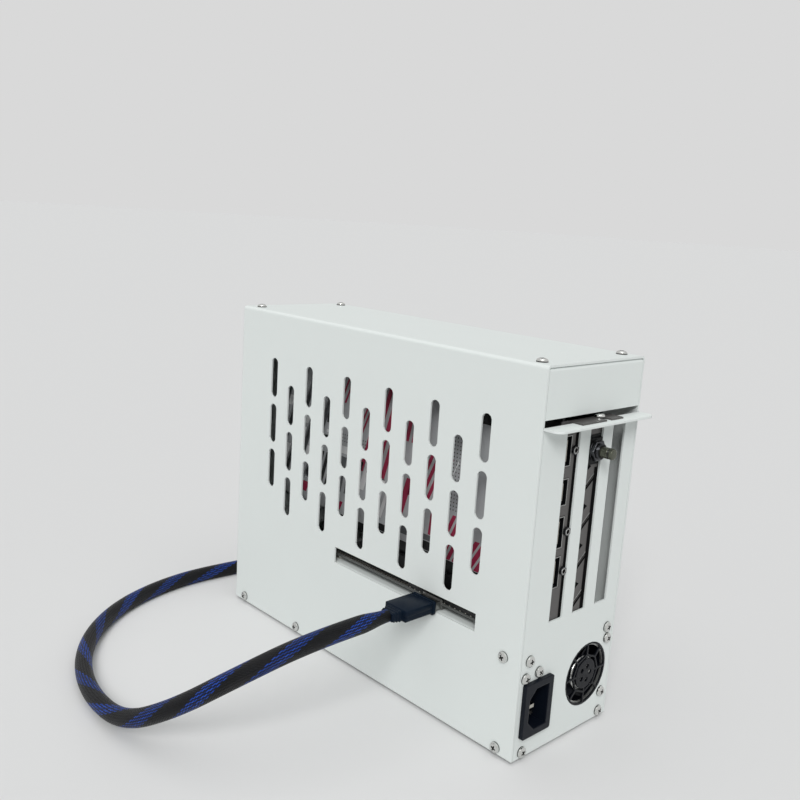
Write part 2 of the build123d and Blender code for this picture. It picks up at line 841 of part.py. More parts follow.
# Backplate on short posts, with leaning slits past the end of the circuit board
cooler_x = card_x - cooler_setback
cooler_length = card_length - bracket_sheet - cooler_setback
cooler_end_x = cooler_x - cooler_length
backplate_y = card_y - backplate_gap - backplate_thickness
backplate_x = card_x - backplate_end_gap
backplate_bottom = card_bottom + backplate_drop
backplate_top = card_top
slit_field_x = (cooler_end_x + card_x - card_board_length) / 2
with BuildPart() as card_backplate:
    with BuildSketch(Plane.XZ.offset(-backplate_y)) as plate:
        with BuildLine():
            Polyline(
                (cooler_end_x, backplate_bottom),
                (backplate_x, backplate_bottom),
                (backplate_x, backplate_top - backplate_notch_height),
                (backplate_x - backplate_notch, backplate_top - backplate_notch_height),
                (backplate_x - 2 * backplate_notch, backplate_top),
                (cooler_end_x, backplate_top),
                close=True,
            )
        make_face()
        chamfer(plate.vertices().group_by(Axis.X)[0], backplate_corner)
        with Locations((slit_field_x, (backplate_bottom + backplate_top) / 2)):
            with GridLocations(backplate_slit_pitch, 1, backplate_slits, 1):
                Rectangle(
                    backplate_slit_length,
                    backplate_slit_width,
                    rotation=90 - backplate_slit_lean,
                    mode=Mode.SUBTRACT,
                )
    extrude(amount=-backplate_thickness)
    with BuildSketch(Plane.XZ.offset(-(card_y - backplate_gap))):
        with Locations((card_x - card_board_length / 2, (card_bottom + card_top) / 2)):
            with GridLocations(
                card_board_length - 2 * backplate_inset,
                card_height - 2 * backplate_inset,
                2,
                2,
            ):
                RegularPolygon(backplate_post / 2, 6)
    extrude(amount=-backplate_gap)
save(card_backplate.part, "card_backplate")

# Cooler: pedestal and comb of fins, under a shroud with two round openings
cooler_middle_x = (cooler_x + cooler_end_x) / 2
cooler_z = (card_bottom + card_top) / 2
heatsink_length = cooler_length - 2 * cooler_wall
heatsink_height = card_height - 2 * cooler_wall
heatsink_y = card_face_y + heatsink_lift
fin_count = int((heatsink_length - fin_thickness) / fin_pitch) + 1
die_x = card_x - card_board_length / 2
card_power_x = card_x - card_board_length + card_power_from_end
power_pocket = (card_power_x, card_face_y, card_top)
power_pocket_size = (
    card_power_length + 2 * card_power_play,
    card_power_width + card_power_play,
    2 * (card_power_height + card_power_play),
)
with BuildPart() as card_heatsink:
    with BuildSketch(Plane.XY.offset(cooler_z - heatsink_height / 2)):
        with Locations((cooler_middle_x, heatsink_y)):
            Rectangle(heatsink_length, heatsink_base, align=(Align.CENTER, Align.MIN))
        with Locations((cooler_middle_x, heatsink_y + heatsink_base)):
            with GridLocations(fin_pitch, 1, fin_count, 1):
                Rectangle(fin_thickness, fin_height, align=(Align.CENTER, Align.MIN))
    extrude(amount=heatsink_height)
    with Locations((die_x, card_face_y, cooler_z)):
        Box(
            heatsink_pedestal,
            heatsink_lift,
            heatsink_pedestal,
            align=(Align.CENTER, Align.MIN, Align.CENTER),
        )
    with Locations(power_pocket):
        Box(*power_pocket_size, align=(Align.CENTER, Align.MIN, Align.CENTER), mode=Mode.SUBTRACT)
save(card_heatsink.part, "card_heatsink")

shroud_y = card_face_y + cooler_lift
shroud_depth = cooler_depth - cooler_lift
fan_places = [
    (cooler_middle_x + side_step * card_fan_spread / 2, cooler_z) for side_step in (-1, 1)
]
fan_opening = card_fan_diameter / 2 + 2 * fan_tip_gap
with BuildPart() as card_shroud:
    with BuildSketch(Plane.XZ.offset(-shroud_y)):
        with Locations((cooler_middle_x, cooler_z)):
            Rectangle(cooler_length, card_height)
    extrude(amount=-shroud_depth)
    outer_face = card_shroud.faces().sort_by(Axis.Y)[-1]
    chamfer(outer_face.edges().filter_by(Axis.X), cooler_bevel)
    offset(amount=-cooler_wall, openings=card_shroud.faces().sort_by(Axis.Y)[0])
    with BuildSketch(Plane.XZ.offset(-shroud_y)):
        with Locations(*fan_places):
            RegularPolygon(fan_opening, bore_flats, major_radius=False)
    extrude(amount=-shroud_depth, mode=Mode.SUBTRACT)
    with Locations(power_pocket):
        Box(*power_pocket_size, align=(Align.CENTER, Align.MIN, Align.CENTER), mode=Mode.SUBTRACT)
save(card_shroud.part, "card_shroud")

fan_base_y = heatsink_y + heatsink_base + fin_height
rotor_y = fan_base_y + card_fan_base_height + fan_end_gap
rotor_depth = card_face_y + cooler_depth - cooler_wall - rotor_y
with BuildPart() as card_fan_bases:
    with BuildSketch(Plane.XZ.offset(-fan_base_y)):
        with Locations(*fan_places):
            RegularPolygon(card_fan_base / 2, round_flats)
    extrude(amount=-card_fan_base_height)
    with BuildSketch(Plane.XZ.offset(-(fan_base_y + card_fan_base_height))):
        with Locations(*fan_places):
            Circle(shaft_diameter / 2)
    extrude(amount=-(fan_end_gap + rotor_depth / 2))
save(card_fan_bases.part, "card_fan_bases")

card_blade_ring = fan_blades(
    card_fan_blades,
    card_fan_hub / 4,
    card_fan_diameter / 2,
    rotor_depth,
    blade_thickness,
    card_blade_pitch,
)
for number, (fan_x, fan_z) in enumerate(fan_places, 1):
    rotor_plane = Plane(origin=(fan_x, rotor_y, fan_z), x_dir=(1, 0, 0), z_dir=(0, 1, 0))
    with BuildPart() as card_fan_rotor:
        with BuildSketch(rotor_plane):
            RegularPolygon(card_fan_hub / 2, hub_flats)
        extrude(amount=rotor_depth)
        with Locations(rotor_plane.offset(rotor_depth / 2).location):
            add(card_blade_ring)
        with BuildSketch(rotor_plane):
            Circle(shaft_diameter / 2 + shaft_clearance)
        extrude(amount=rotor_depth / 2 + fan_end_gap, mode=Mode.SUBTRACT)
    save(card_fan_rotor.part, f"card_fan_{number}")

with BuildPart() as card_power_socket:
    with Locations((card_power_x, card_face_y, card_top)):
        Box(
            card_power_length,
            card_power_width,
            card_power_height,
            align=(Align.CENTER, Align.MIN, Align.MAX),
        )
        Box(
            card_power_length - 2 * power_socket_wall,
            card_power_width - 2 * power_socket_wall,
            card_power_height - power_socket_wall,
            align=(Align.CENTER, Align.MIN, Align.MAX),
            mode=Mode.SUBTRACT,
        )
save(card_power_socket.part, "card_power_socket")

# Card bracket, folded over the ledge, notched for a screw and cut away round the push button's filler
switch_y = from_side(slot_first + slot_pitch)
switch_z = ledge_z - switch_drop
holder_lip_width = slot_width + 2 * holder_lip_edge
holder_lip_height = holder_height + 2 * holder_lip_edge
port_y = card_face_y + video_port_width / 2
port_heights = [ledge_z - video_port_drop - video_port_pitch * n for n in range(len(video_port_lengths))]
bracket_low_y = from_side(bracket_from_side)
bracket_bottom = slot_bottom - bracket_tail
slit_middle_z = ledge_z - bracket_slit_drop - bracket_slit_pitch * (bracket_slits - 1) / 2
tab_end_x = rear_x + ledge_reach - bracket_reach_back
with BuildPart() as card_bracket:
    with BuildSketch(Plane.XZ.offset(-bracket_low_y)) as bracket_fold:
        with BuildLine():
            Polyline(
                (bracket_x - bracket_sheet, bracket_bottom),
                (bracket_x, bracket_bottom),
                (bracket_x, ledge_z),
                (tab_end_x, ledge_z),
                (tab_end_x, ledge_z + bracket_sheet),
                (bracket_x - bracket_sheet, ledge_z + bracket_sheet),
                close=True,
            )
        make_face()
    extrude(amount=-bracket_width)
    with BuildSketch(Plane.YZ.offset(bracket_x)):
        for z, length in zip(port_heights, video_port_lengths):
            with Locations((port_y, z)):
                Rectangle(video_port_width + 2 * video_port_play, length + 2 * video_port_play)
        with Locations((switch_y, switch_z)):
            Rectangle(holder_lip_width + 2 * holder_play, holder_lip_height + 2 * holder_play)
        with Locations((switch_y, slit_middle_z)):
            with GridLocations(1, bracket_slit_pitch, 1, bracket_slits):
                Rectangle(bracket_slit_length, bracket_slit_width, rotation=bracket_slit_lean)
    extrude(amount=-2 * bracket_sheet, mode=Mode.SUBTRACT)
    with BuildSketch(Plane.XY.offset(ledge_z)):
        with Locations((tab_end_x, switch_y)):
            Rectangle(2 * bracket_notch_depth, bracket_notch)
        with Locations((tab_end_x, bracket_low_y)):
            Rectangle(2 * (tab_end_x - bracket_x), 2 * bracket_tab_inset)
    extrude(amount=2 * bracket_sheet, mode=Mode.SUBTRACT)
save(card_bracket.part, "card_bracket")

tab_screw_seat = Plane((tab_end_x - bracket_notch_depth, switch_y, ledge_z + bracket_sheet), z_dir=(0, 0, 1))
save(screw_heads([tab_screw_seat]), "bracket_tab_screw")

# Video ports on the card's board, their mouths just outside the bracket
with BuildPart() as video_ports:
    for z, length in zip(port_heights, video_port_lengths):
        with Locations((bracket_x + video_port_stand, port_y, z)):
            Box(video_port_depth, video_port_width, length, align=(Align.MAX, Align.CENTER, Align.CENTER))
            Box(
                video_port_cavity,
                video_port_width - 2 * video_port_wall,
                length - 2 * video_port_wall,
                align=(Align.MAX, Align.CENTER, Align.CENTER),
                mode=Mode.SUBTRACT,
            )
        with Locations((bracket_x + video_port_stand - video_port_wall, port_y, z)):
            Box(
                video_port_cavity,
                video_tongue,
                length - 4 * video_port_wall,
                align=(Align.MAX, Align.CENTER, Align.CENTER),
            )
save(video_ports.part, "video_ports")

with BuildPart() as bracket_screws:
    with BuildSketch(Plane.YZ.offset(bracket_x)):
        for z in port_heights[:1] + port_heights[2:]:
            with Locations((port_y + bracket_screw_offset, z)):
                RegularPolygon(bracket_screw_flats / 2, 6, major_radius=False, rotation=180 / 6)
    extrude(amount=bracket_screw_height)
save(bracket_screws.part, "bracket_screws")

# Push button, its bushing nutted into a moulded filler in the second slot
with BuildPart() as switch_holder:
    with BuildSketch(Plane.YZ.offset(inner_rear_x)):
        with Locations((switch_y, switch_z)):
            Rectangle(slot_width - 2 * holder_play, holder_height)
            RegularPolygon(bushing_diameter / 2, round_flats, mode=Mode.SUBTRACT)
    extrude(amount=sheet)
    with BuildSketch(Plane.YZ.offset(inner_rear_x)):
        with Locations((switch_y, switch_z)):
            Rectangle(holder_lip_width, holder_lip_height)
            RegularPolygon(bushing_diameter / 2, round_flats, mode=Mode.SUBTRACT)
    extrude(amount=-holder_lip)
save(switch_holder.part, "switch_holder")

switch_plane = Plane(origin=(rear_x, switch_y, switch_z), x_dir=(0, 1, 0), z_dir=(1, 0, 0))
can_front = switch_plane.offset(-(sheet + holder_lip))
cap_bore = cap_diameter / 2 + cap_clearance
cap_inner = switch_plane.offset(-(cap_travel + cap_end_gap))
with BuildPart() as switch_body:
    with BuildSketch(can_front):
        RegularPolygon(switch_can / 2, round_flats)
    extrude(amount=-switch_can_length)
    with BuildSketch(can_front):
        RegularPolygon(bushing_diameter / 2, round_flats)
    extrude(amount=sheet + holder_lip + bushing_length)
    with BuildSketch(switch_plane.offset(-2 * cap_travel - cap_end_gap)):
        RegularPolygon(cap_bore, round_flats)
    extrude(amount=bushing_length + 2 * cap_travel + cap_end_gap, mode=Mode.SUBTRACT)
    with BuildSketch(can_front.offset(-switch_can_length)):
        with GridLocations(switch_can / 2, 1, 2, 1):
            Rectangle(switch_terminal / 2, switch_terminal)
    extrude(amount=-switch_terminal_length)
save(switch_body.part, "switch_body")

with BuildPart() as switch_washer:
    with BuildSketch(switch_plane):
        RegularPolygon(washer_diameter / 2, round_flats)
        RegularPolygon(bushing_diameter / 2, round_flats, mode=Mode.SUBTRACT)
    extrude(amount=washer_thickness)
save(switch_washer.part, "switch_washer")

with BuildPart() as switch_nut:
    with BuildSketch(switch_plane.offset(washer_thickness)):
        RegularPolygon(nut_across_flats / 2, 6, major_radius=False)
        RegularPolygon(bushing_diameter / 2, round_flats, mode=Mode.SUBTRACT)
    extrude(amount=nut_thickness)
save(switch_nut.part, "switch_nut")

with BuildPart() as switch_cap:
    with BuildSketch(cap_inner):
        RegularPolygon(cap_diameter / 2, round_flats)
    extrude(amount=cap_travel + cap_end_gap + bushing_length + cap_reach)
    chamfer(switch_cap.faces().sort_by(Axis.X)[-1].edges(), cap_chamfer)
save(switch_cap.part, "switch_cap")

# Link plug: a metal nose in the port and a moulded body with a lip, a neck and a sleeve
plug_start_y = -side_y - link_plug_stand
nose_depth = board_y + link_nose_depth - link_nose_play - plug_start_y


def bevelled(width, height, bevel):
    """Rectangle with bevelled corners, drawn in the sketch that calls it."""
    corners = Rectangle(width, height).vertices()
    chamfer(corners, bevel)


with BuildPart() as moulded_plug:
    with BuildSketch():
        bevelled(link_plug_width + 2 * link_lip_step, link_plug_height + 2 * link_lip_step, link_edge)
    extrude(amount=link_lip)
    with BuildSketch(Plane.XY.offset(link_lip)):
        bevelled(link_plug_width, link_plug_height, link_edge)
    extrude(amount=link_plug_length - link_lip)
    with BuildSketch(Plane.XY.offset(link_plug_length)):
        bevelled(link_neck_width, link_plug_height, link_edge)
    extrude(amount=link_neck_length, taper=link_neck_taper)


def plug_body(plane):
    """Moulded plug body along the plane's normal: lip, body and narrowing neck."""
    with BuildPart() as placed:
        with Locations(plane.location):
            add(moulded_plug.part)
    return placed.part


def plug_nose(plane, reach):
    """Metal nose of a plug, reaching against the plane's normal."""
    with BuildPart() as nose:
        with BuildSketch(plane):
            Rectangle(nose_width, nose_height)
        extrude(amount=-reach)
    return nose.part


def cable_sleeve(plane):
    """End of the braided sleeve, gathered at the neck and swelling to the cable's size."""
    flat_shift = (cable_diameter - neck_diameter) / 2 * cos(pi / cable_side_count)
    with BuildPart() as swell:
        with BuildSketch():
            RegularPolygon(cable_diameter / 2, cable_side_count)
        extrude(amount=swell_length, taper=degrees(atan(flat_shift / swell_length)))
    wide_end = Plane(plane.offset(swell_length).origin, x_dir=plane.x_dir, z_dir=-plane.z_dir)
    with BuildPart() as sleeve:
        with Locations(wide_end.location):
            add(swell.part)
    return sleeve.part


near_plane = Plane(origin=(link_x, plug_start_y, link_z), x_dir=(1, 0, 0), z_dir=(0, -1, 0))
save(plug_body(near_plane), "link_plug")
save(plug_nose(near_plane, nose_depth), "link_plug_nose")
near_neck = near_plane.offset(link_plug_length + link_neck_length)
save(cable_sleeve(near_neck), "link_plug_sleeve")

# Cable from the sleeve down to the floor and round the front of the case
cable_start = near_neck.offset(swell_length).origin
cable_floor = cable_diameter / 2
cable_route = [
    (cable_start.X, cable_start.Y, cable_start.Z),
    (cable_start.X, -126.0, cable_start.Z),
    (44.0, -159.0, 53.0),
    (16.0, -178.0, 29.0),
    (-18.0, -188.0, 9.0),
    (-58.0, -187.0, cable_floor),
    (-97.0, -176.0, cable_floor),
    (-131.0, -154.0, cable_floor),
    (-157.0, -123.0, cable_floor),
    (-172.0, -86.0, cable_floor),
    (-177.0, -46.0, cable_floor),
    (-172.0, -8.0, cable_floor),
]
cable_points = [Vector(point) for point in cable_route]
cable_runs = [after - before for before, after in zip(cable_points, cable_points[1:])]
cable_turns = [before.get_angle(after) for before, after in zip(cable_runs, cable_runs[1:])]
cable_radii = [
    cable_arc_share * min(before.length, after.length) / tan(radians(turn / 2))
    for before, after, turn in zip(cable_runs, cable_runs[1:], cable_turns)
]
print("cable arc radii", [round(radius, 1) for radius in cable_radii])
with BuildPart() as link_cable:
    with BuildLine() as cable_path:
        FilletPolyline(*cable_points, radius=cable_radii)
    with BuildSketch(near_neck.offset(swell_length)) as cable_section:
        RegularPolygon(cable_diameter / 2, cable_side_count)
    sweep()
cable_length = sum(edge.length for edge in cable_path.edges())
section_volume = cable_section.sketch.area * cable_length
volume_share = link_cable.part.volume / section_volume
print("cable length", round(cable_length, 1), "volume share", round(volume_share, 4))
save(link_cable.part, "link_cable")

# Far end of the cable, with the same sleeve and plug lying on the floor
far_direction = cable_runs[-1].normalized()
far_neck = Plane(
    origin=cable_points[-1] + far_direction * swell_length,
    x_dir=far_direction.cross(Vector(0, 0, 1)),
    z_dir=-far_direction,
)
save(cable_sleeve(far_neck), "far_plug_sleeve")
far_plane = far_neck.offset(-(link_plug_length + link_neck_length))
save(plug_body(far_plane), "far_plug")
save(plug_nose(far_plane, link_nose_depth), "far_plug_nose")
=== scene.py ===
import math
import bmesh
import bpy
from mathutils import Matrix, Vector


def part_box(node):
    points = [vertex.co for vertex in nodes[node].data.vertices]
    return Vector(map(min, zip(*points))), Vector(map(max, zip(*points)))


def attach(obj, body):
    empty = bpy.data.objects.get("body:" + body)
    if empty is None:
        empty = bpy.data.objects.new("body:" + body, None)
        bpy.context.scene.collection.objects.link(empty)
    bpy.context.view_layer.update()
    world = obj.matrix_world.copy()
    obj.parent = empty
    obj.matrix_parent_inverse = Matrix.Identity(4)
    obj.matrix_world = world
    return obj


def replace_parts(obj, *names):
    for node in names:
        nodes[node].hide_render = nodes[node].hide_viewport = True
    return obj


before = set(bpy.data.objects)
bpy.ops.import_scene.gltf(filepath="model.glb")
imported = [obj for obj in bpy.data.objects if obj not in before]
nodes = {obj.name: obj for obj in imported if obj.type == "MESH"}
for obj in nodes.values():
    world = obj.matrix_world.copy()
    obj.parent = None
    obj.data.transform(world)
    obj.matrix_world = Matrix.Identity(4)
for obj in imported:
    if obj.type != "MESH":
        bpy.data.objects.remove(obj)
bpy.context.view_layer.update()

# Case: one cover folded down both sides, end panels, base and shelf, all thin
# steel sheet, punched and folded, screwed together and finished in white.


def linear(code):
    """Linear colour of an sRGB hex code."""
    parts = [int(code[i:i + 2], 16) / 255 for i in (1, 3, 5)]
    return tuple(c / 12.92 if c <= 0.04045 else ((c + 0.055) / 1.055) ** 2.4 for c in parts) + (1.0,)


def add_node(tree, kind, inputs=None, **settings):
    """A shader node with its settings, each input a number, a colour or another node's output."""
    made = tree.nodes.new(kind)
    for name, value in settings.items():
        setattr(made, name, value)
    for socket, value in (inputs or {}).items():
        if isinstance(value, bpy.types.NodeSocket):
            tree.links.new(value, made.inputs[socket])
        else:
            made.inputs[socket].default_value = value
    return made


cloud_mm = 36.0
gloss_swing = 0.12
grain_relief = 0.25


def finish_of(
    name, code, roughness, metallic=0.0, grain_mm=0.6, grain=0.1, mottle=0.04, edge_mm=0.0, shine=0.5
):
    """A surface with a fine grain, a faint cloudiness in tone and gloss, and softened edges."""
    made = bpy.data.materials.new(name)
    made.use_nodes = True
    tree = made.node_tree
    shader = tree.nodes["Principled BSDF"]
    shader.inputs["Metallic"].default_value = metallic
    shader.inputs["Specular IOR Level"].default_value = shine
    place = add_node(tree, "ShaderNodeTexCoord").outputs["Object"]
    fine = add_node(tree, "ShaderNodeTexNoise", {"Vector": place, "Scale": 1000 / grain_mm, "Detail": 3.0})
    broad = add_node(tree, "ShaderNodeTexNoise", {"Vector": place, "Scale": 1000 / cloud_mm, "Detail": 4.0})
    tone = add_node(
        tree,
        "ShaderNodeMapRange",
        {"Value": broad.outputs["Fac"], 3: 1 - mottle, 4: 1 + mottle},
    )
    shade = add_node(
        tree,
        "ShaderNodeVectorMath",
        {0: linear(code)[:3], 3: tone.outputs["Result"]},
        operation="SCALE",
    )
    tree.links.new(shade.outputs["Vector"], shader.inputs["Base Color"])
    smoothest = roughness * (1 - gloss_swing)
    roughest = min(1.0, roughness * (1 + gloss_swing))
    gloss = add_node(tree, "ShaderNodeMapRange", {"Value": fine.outputs["Fac"], 3: smoothest, 4: roughest})
    tree.links.new(gloss.outputs["Result"], shader.inputs["Roughness"])
    bump = add_node(
        tree,
        "ShaderNodeBump",
        {"Height": fine.outputs["Fac"], "Strength": grain, "Distance": grain_relief * grain_mm * 0.001},
    )
    if edge_mm:
        soft = add_node(tree, "ShaderNodeBevel", {"Radius": edge_mm * 0.001}, samples=6)
        tree.links.new(soft.outputs["Normal"], bump.inputs["Normal"])
    tree.links.new(bump.outputs["Normal"], shader.inputs["Normal"])
    return made


def dress(material, *names):
    """Gives CAD nodes their finished surface."""
    for name in names:
        nodes[name].material_slots[0].material = material


# Powder coat, baked on: an even satin white with a very fine orange peel.
powder_coat = finish_of(
    "white_powder_coat", "#DADFDD", 0.50, grain_mm=0.7, grain=0.12, mottle=0.012, edge_mm=0.25, shine=0.15
)
dress(powder_coat, "cover", "base_plate", "mid_shelf", "front_panel", "rear_panel", "rear_top_strip")

# Feet: low pads of black rubber, cut from sheet and stuck under the base near
# its corners.
# Rubber: dull black with a slight tooth.
foot_rubber = finish_of("foot_rubber", "#1B1B1C", 0.85, grain_mm=0.4, grain=0.4, mottle=0.1, edge_mm=0.4)
dress(foot_rubber, "feet")

# Screws: pan heads with a cross recess, forged and plated, driven through the
# sheet into the flanges behind it.
# Bright zinc plate: a silver dome with sharp glints.
zinc_plate = finish_of("bright_zinc_plate", "#D6D7D4", 0.14, 1.0, grain_mm=0.5, grain=0.05, mottle=0.05)
# Painted shade in the recess and round the rim's foot: a dark cross and a dark line.
recess_painted_shade = finish_of("recess_painted_shade", "#2A2A29", 0.5, 0.6, grain_mm=0.4, grain=0.2, mottle=0.1)
head_radius = 0.0031
head_height = 0.0019
# The outline and the recess as shares of a head's radius and height
head_outline = ((1.0, 0.0), (1.0, 0.28), (0.93, 0.62), (0.76, 0.86), (0.52, 0.97), (0.25, 1.0), (0.0, 1.0))
arm_length = 1.35
arm_width = 0.38
arm_depth = 1.3
arm_middle = 0.9
arm_taper = 0.4
# Faces in the recess and in a band round the rim's foot, bounded by these shares, take the painted shade.
recess_reach = 0.68
recess_top = 0.88
rim_shade_top = 0.2


def mesh_of(made):
    """A finished mesh from edited geometry."""
    bmesh.ops.recalc_face_normals(made, faces=made.faces)
    mesh = bpy.data.meshes.new("piece")
    made.to_mesh(mesh)
    made.free()
    return mesh


def add_piece(name, mesh, material, body="case", smooth_deg=30):
    """A new piece that rides on a body of the frame."""
    made = bpy.data.objects.new(name, mesh)
    bpy.context.scene.collection.objects.link(made)
    mesh.name = name
    mesh.materials.append(material)
    if smooth_deg:
        mesh.shade_smooth()
        mesh.set_sharp_from_angle(angle=math.radians(smooth_deg))
    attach(made, body)
    return made


def screw_head(radius, height):
    """One pan head with a cross recess, its seat on XY and its crown along Z."""
    head = bmesh.new()
    ring = [head.verts.new((radius * x, 0.0, height * z)) for x, z in head_outline]
    edges = [head.edges.new(pair) for pair in zip(ring, ring[1:])]
    bmesh.ops.spin(head, geom=ring + edges, axis=(0, 0, 1), cent=(0, 0, 0), steps=28, angle=math.tau)
    bmesh.ops.remove_doubles(head, verts=head.verts, dist=radius * 0.001)
    bmesh.ops.holes_fill(head, edges=head.edges)
    cutter = bmesh.new()
    for turn in (0, 90):
        arm = bmesh.ops.create_cube(cutter, size=1.0)["verts"]
        size = Matrix.Diagonal((radius * arm_length, radius * arm_width, height * arm_depth, 1.0))
        spin = Matrix.Rotation(math.radians(turn), 4, "Z")
        rise = Matrix.Translation((0, 0, height * arm_middle))
        bmesh.ops.transform(cutter, matrix=rise @ spin @ size, verts=arm)
        for vert in arm:
            if vert.co.z < height * arm_middle:
                vert.co.x *= arm_taper
                vert.co.y *= arm_taper
    body = bpy.data.objects.new("screw_body", mesh_of(head))
    tool = bpy.data.objects.new("screw_tool", mesh_of(cutter))
    for made in (body, tool):
        bpy.context.scene.collection.objects.link(made)
    cut = body.modifiers.new("recess", "BOOLEAN")
    cut.object = tool
    cut.use_self = True
    bpy.context.view_layer.update()
    finished = bpy.data.meshes.new_from_object(body.evaluated_get(bpy.context.evaluated_depsgraph_get()))
    for made in (body, tool):
        bpy.data.objects.remove(made)
    # Faces in the recess and round the rim's foot get the second material: painted shade.
    for face in finished.polygons:
        reach = face.center.xy.length / radius
        level = face.center.z / height
        if level < rim_shade_top or (level < recess_top and reach < recess_reach):
            face.material_index = 1
    return finished


def solid_boxes(name):
    """Low and high corners in mm of each separate solid in a node, sorted along X, Y and Z."""
    shape = bmesh.new()
    shape.from_mesh(nodes[name].data)
    shape.transform(nodes[name].matrix_world)
    bmesh.ops.remove_doubles(shape, verts=shape.verts, dist=0.000001)
    waiting = set(shape.verts)
    boxes = []
    while waiting:
        solid = [waiting.pop()]
        for vert in solid:
            fresh = {edge.other_vert(vert) for edge in vert.link_edges} & waiting
            waiting -= fresh
            solid.extend(fresh)
        spots = [vert.co * 1000 for vert in solid]
        boxes.append((Vector(map(min, zip(*spots))), Vector(map(max, zip(*spots)))))
    shape.free()
    return sorted(boxes, key=lambda box: [round(side, 1) for side in box[0]])


pan_head = screw_head(head_radius, head_height)


def screw_group(name, axis, turns):
    """Heads in place of a node's plain ones, facing out along X, Y or Z (0, 1, 2), each with its turn."""
    group = bmesh.new()
    for (low, high), turn in zip(solid_boxes(name), turns):
        seat = (low + high) / 2
        outward = math.copysign(1.0, seat[axis])
        seat[axis] = low[axis] if outward > 0 else high[axis]
        facing = Vector((0, 0, 0))
        facing[axis] = outward
        lean = Vector((0, 0, 1)).rotation_difference(facing).to_matrix().to_4x4()
        spin = Matrix.Rotation(math.radians(turn), 4, "Z")
        copy = pan_head.copy()
        copy.transform(Matrix.Translation(seat * 0.001) @ lean @ spin)
        group.from_mesh(copy)
        bpy.data.meshes.remove(copy)
    made = bpy.data.meshes.new(name)
    group.to_mesh(made)
    group.free()
    piece = add_piece(name, made, zinc_plate)
    # The second material: painted shade in the recess and round the rim.
    made.materials.append(recess_painted_shade)
    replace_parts(piece, name)


screw_group("cover_top_screws", 2, (40, 10, 20, 65))
screw_group("cover_side_screws", 1, (50, 50, 15, 15, 70, 25, 70, 25))
screw_group("rear_panel_screws", 0, (30, 5, 60, 20))
screw_group("front_panel_screws", 0, (45, 20, 75, 35))
screw_group("psu_screws", 0, (12, 48, 66, 30))
screw_group("bracket_tab_screw", 2, (52,))

# Power supply: a slim box of steel sheet with a flat lid, screwed to the inside
# of the rear panel.
# Zinc-plated sheet: dull silver with a rolled, faintly clouded face.
zinc_sheet = finish_of("zinc_sheet", "#A9ABA8", 0.38, 0.9, grain_mm=1.6, grain=0.08, mottle=0.1)
dress(zinc_sheet, "psu_case", "psu_lid")

# Power inlet: a three-pole socket moulded in one piece, its flange outside the
# panel, with three flat pins pressed in from behind.
# Nylon: blue-black, with a soft shine on the flange's edges.
inlet_nylon = finish_of(
    "black_nylon", "#0C111A", 0.36, grain_mm=0.5, grain=0.15, mottle=0.05, edge_mm=0.9, shine=0.16
)
# Nickel plate: a silver face that is dark where the socket shades it.
nickel_plate = finish_of(
    "nickel_plate", "#B9B6AE", 0.22, 1.0, grain_mm=0.5, grain=0.05, mottle=0.05, edge_mm=0.3
)
dress(inlet_nylon, "psu_inlet")
dress(nickel_plate, "psu_inlet_pins")

# Power supply fan: a moulded guard and frame with a motor spider, and a moulded
# rotor pressed on its motor, whose steel cap shows round the guard's disc.
# Glass-filled polyester: black with a faint gloss on its bars.
fan_polyester = finish_of(
    "black_polyester", "#0B0D13", 0.38, grain_mm=0.5, grain=0.15, mottle=0.08, edge_mm=0.4, shine=0.2
)
# Drawn steel: a pale bright ring.
drawn_steel = finish_of("drawn_steel", "#DCDDDA", 0.34, 1.0, grain_mm=0.6, grain=0.06, mottle=0.05)
dress(fan_polyester, "psu_fan_guard", "psu_fan_frame", "psu_fan_rotor")


def mm_box(name):
    """A node's low and high corners in mm."""
    return [Vector(corner) * 1000 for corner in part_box(name)]


def turned(profile, centre, steps, ring=False):
    """A piece turned about X: its outline as X and radius in mm, its centre in Y and Z."""
    made = bmesh.new()
    circle = [(math.cos(math.tau * k / steps), math.sin(math.tau * k / steps)) for k in range(steps)]
    rings = [
        [made.verts.new((x, centre[0] + radius * c, centre[1] + radius * s)) for c, s in circle]
        for x, radius in profile
    ]
    for near, far in zip(rings, rings[1:] + rings[:1] if ring else rings[1:]):
        for k in range(steps):
            made.faces.new((near[k - 1], near[k], far[k], far[k - 1]))
    if not ring:
        made.faces.new(rings[0])
        made.faces.new(rings[-1])
    bmesh.ops.scale(made, vec=(0.001, 0.001, 0.001), verts=made.verts)
    return mesh_of(made)


rotor_low, rotor_high = mm_box("psu_fan_rotor")
rotor_axis = ((rotor_low.y + rotor_high.y) / 2, (rotor_low.z + rotor_high.z) / 2)
motor_face = rotor_high.x
motor_bore = 4.4
motor_radius = 9.8
motor_cap = turned([
    (motor_face, motor_bore),
    (motor_face + 0.3, motor_bore),
    (motor_face + 0.4, motor_radius - 0.6),
    (motor_face + 0.2, motor_radius - 0.1),
    (motor_face, motor_radius),
], rotor_axis, 48, ring=True)
add_piece("motor_cap", motor_cap, drawn_steel, body="psu_rotor")

# Power supply inside: one circuit board on the case's floor, with a taped
# transformer and two rolled cans soldered to it.
# Solder mask: near-black lacquer with a low sheen.
black_mask = finish_of("black_solder_mask", "#17191A", 0.36, grain_mm=1.2, grain=0.12, mottle=0.12)
# Polyester tape: amber, wound tight, a little glossy.
amber_tape = finish_of("amber_tape", "#B98A1E", 0.45, grain_mm=2.0, grain=0.2, mottle=0.1, edge_mm=0.5)
# Rolled aluminium: satin silver sleeves.
rolled_can = finish_of(
    "rolled_aluminium", "#B5B7B8", 0.32, 0.9, grain_mm=0.8, grain=0.06, mottle=0.06, edge_mm=0.5
)
dress(black_mask, "psu_board")
dress(amber_tape, "psu_transformer")
dress(rolled_can, "psu_capacitors")

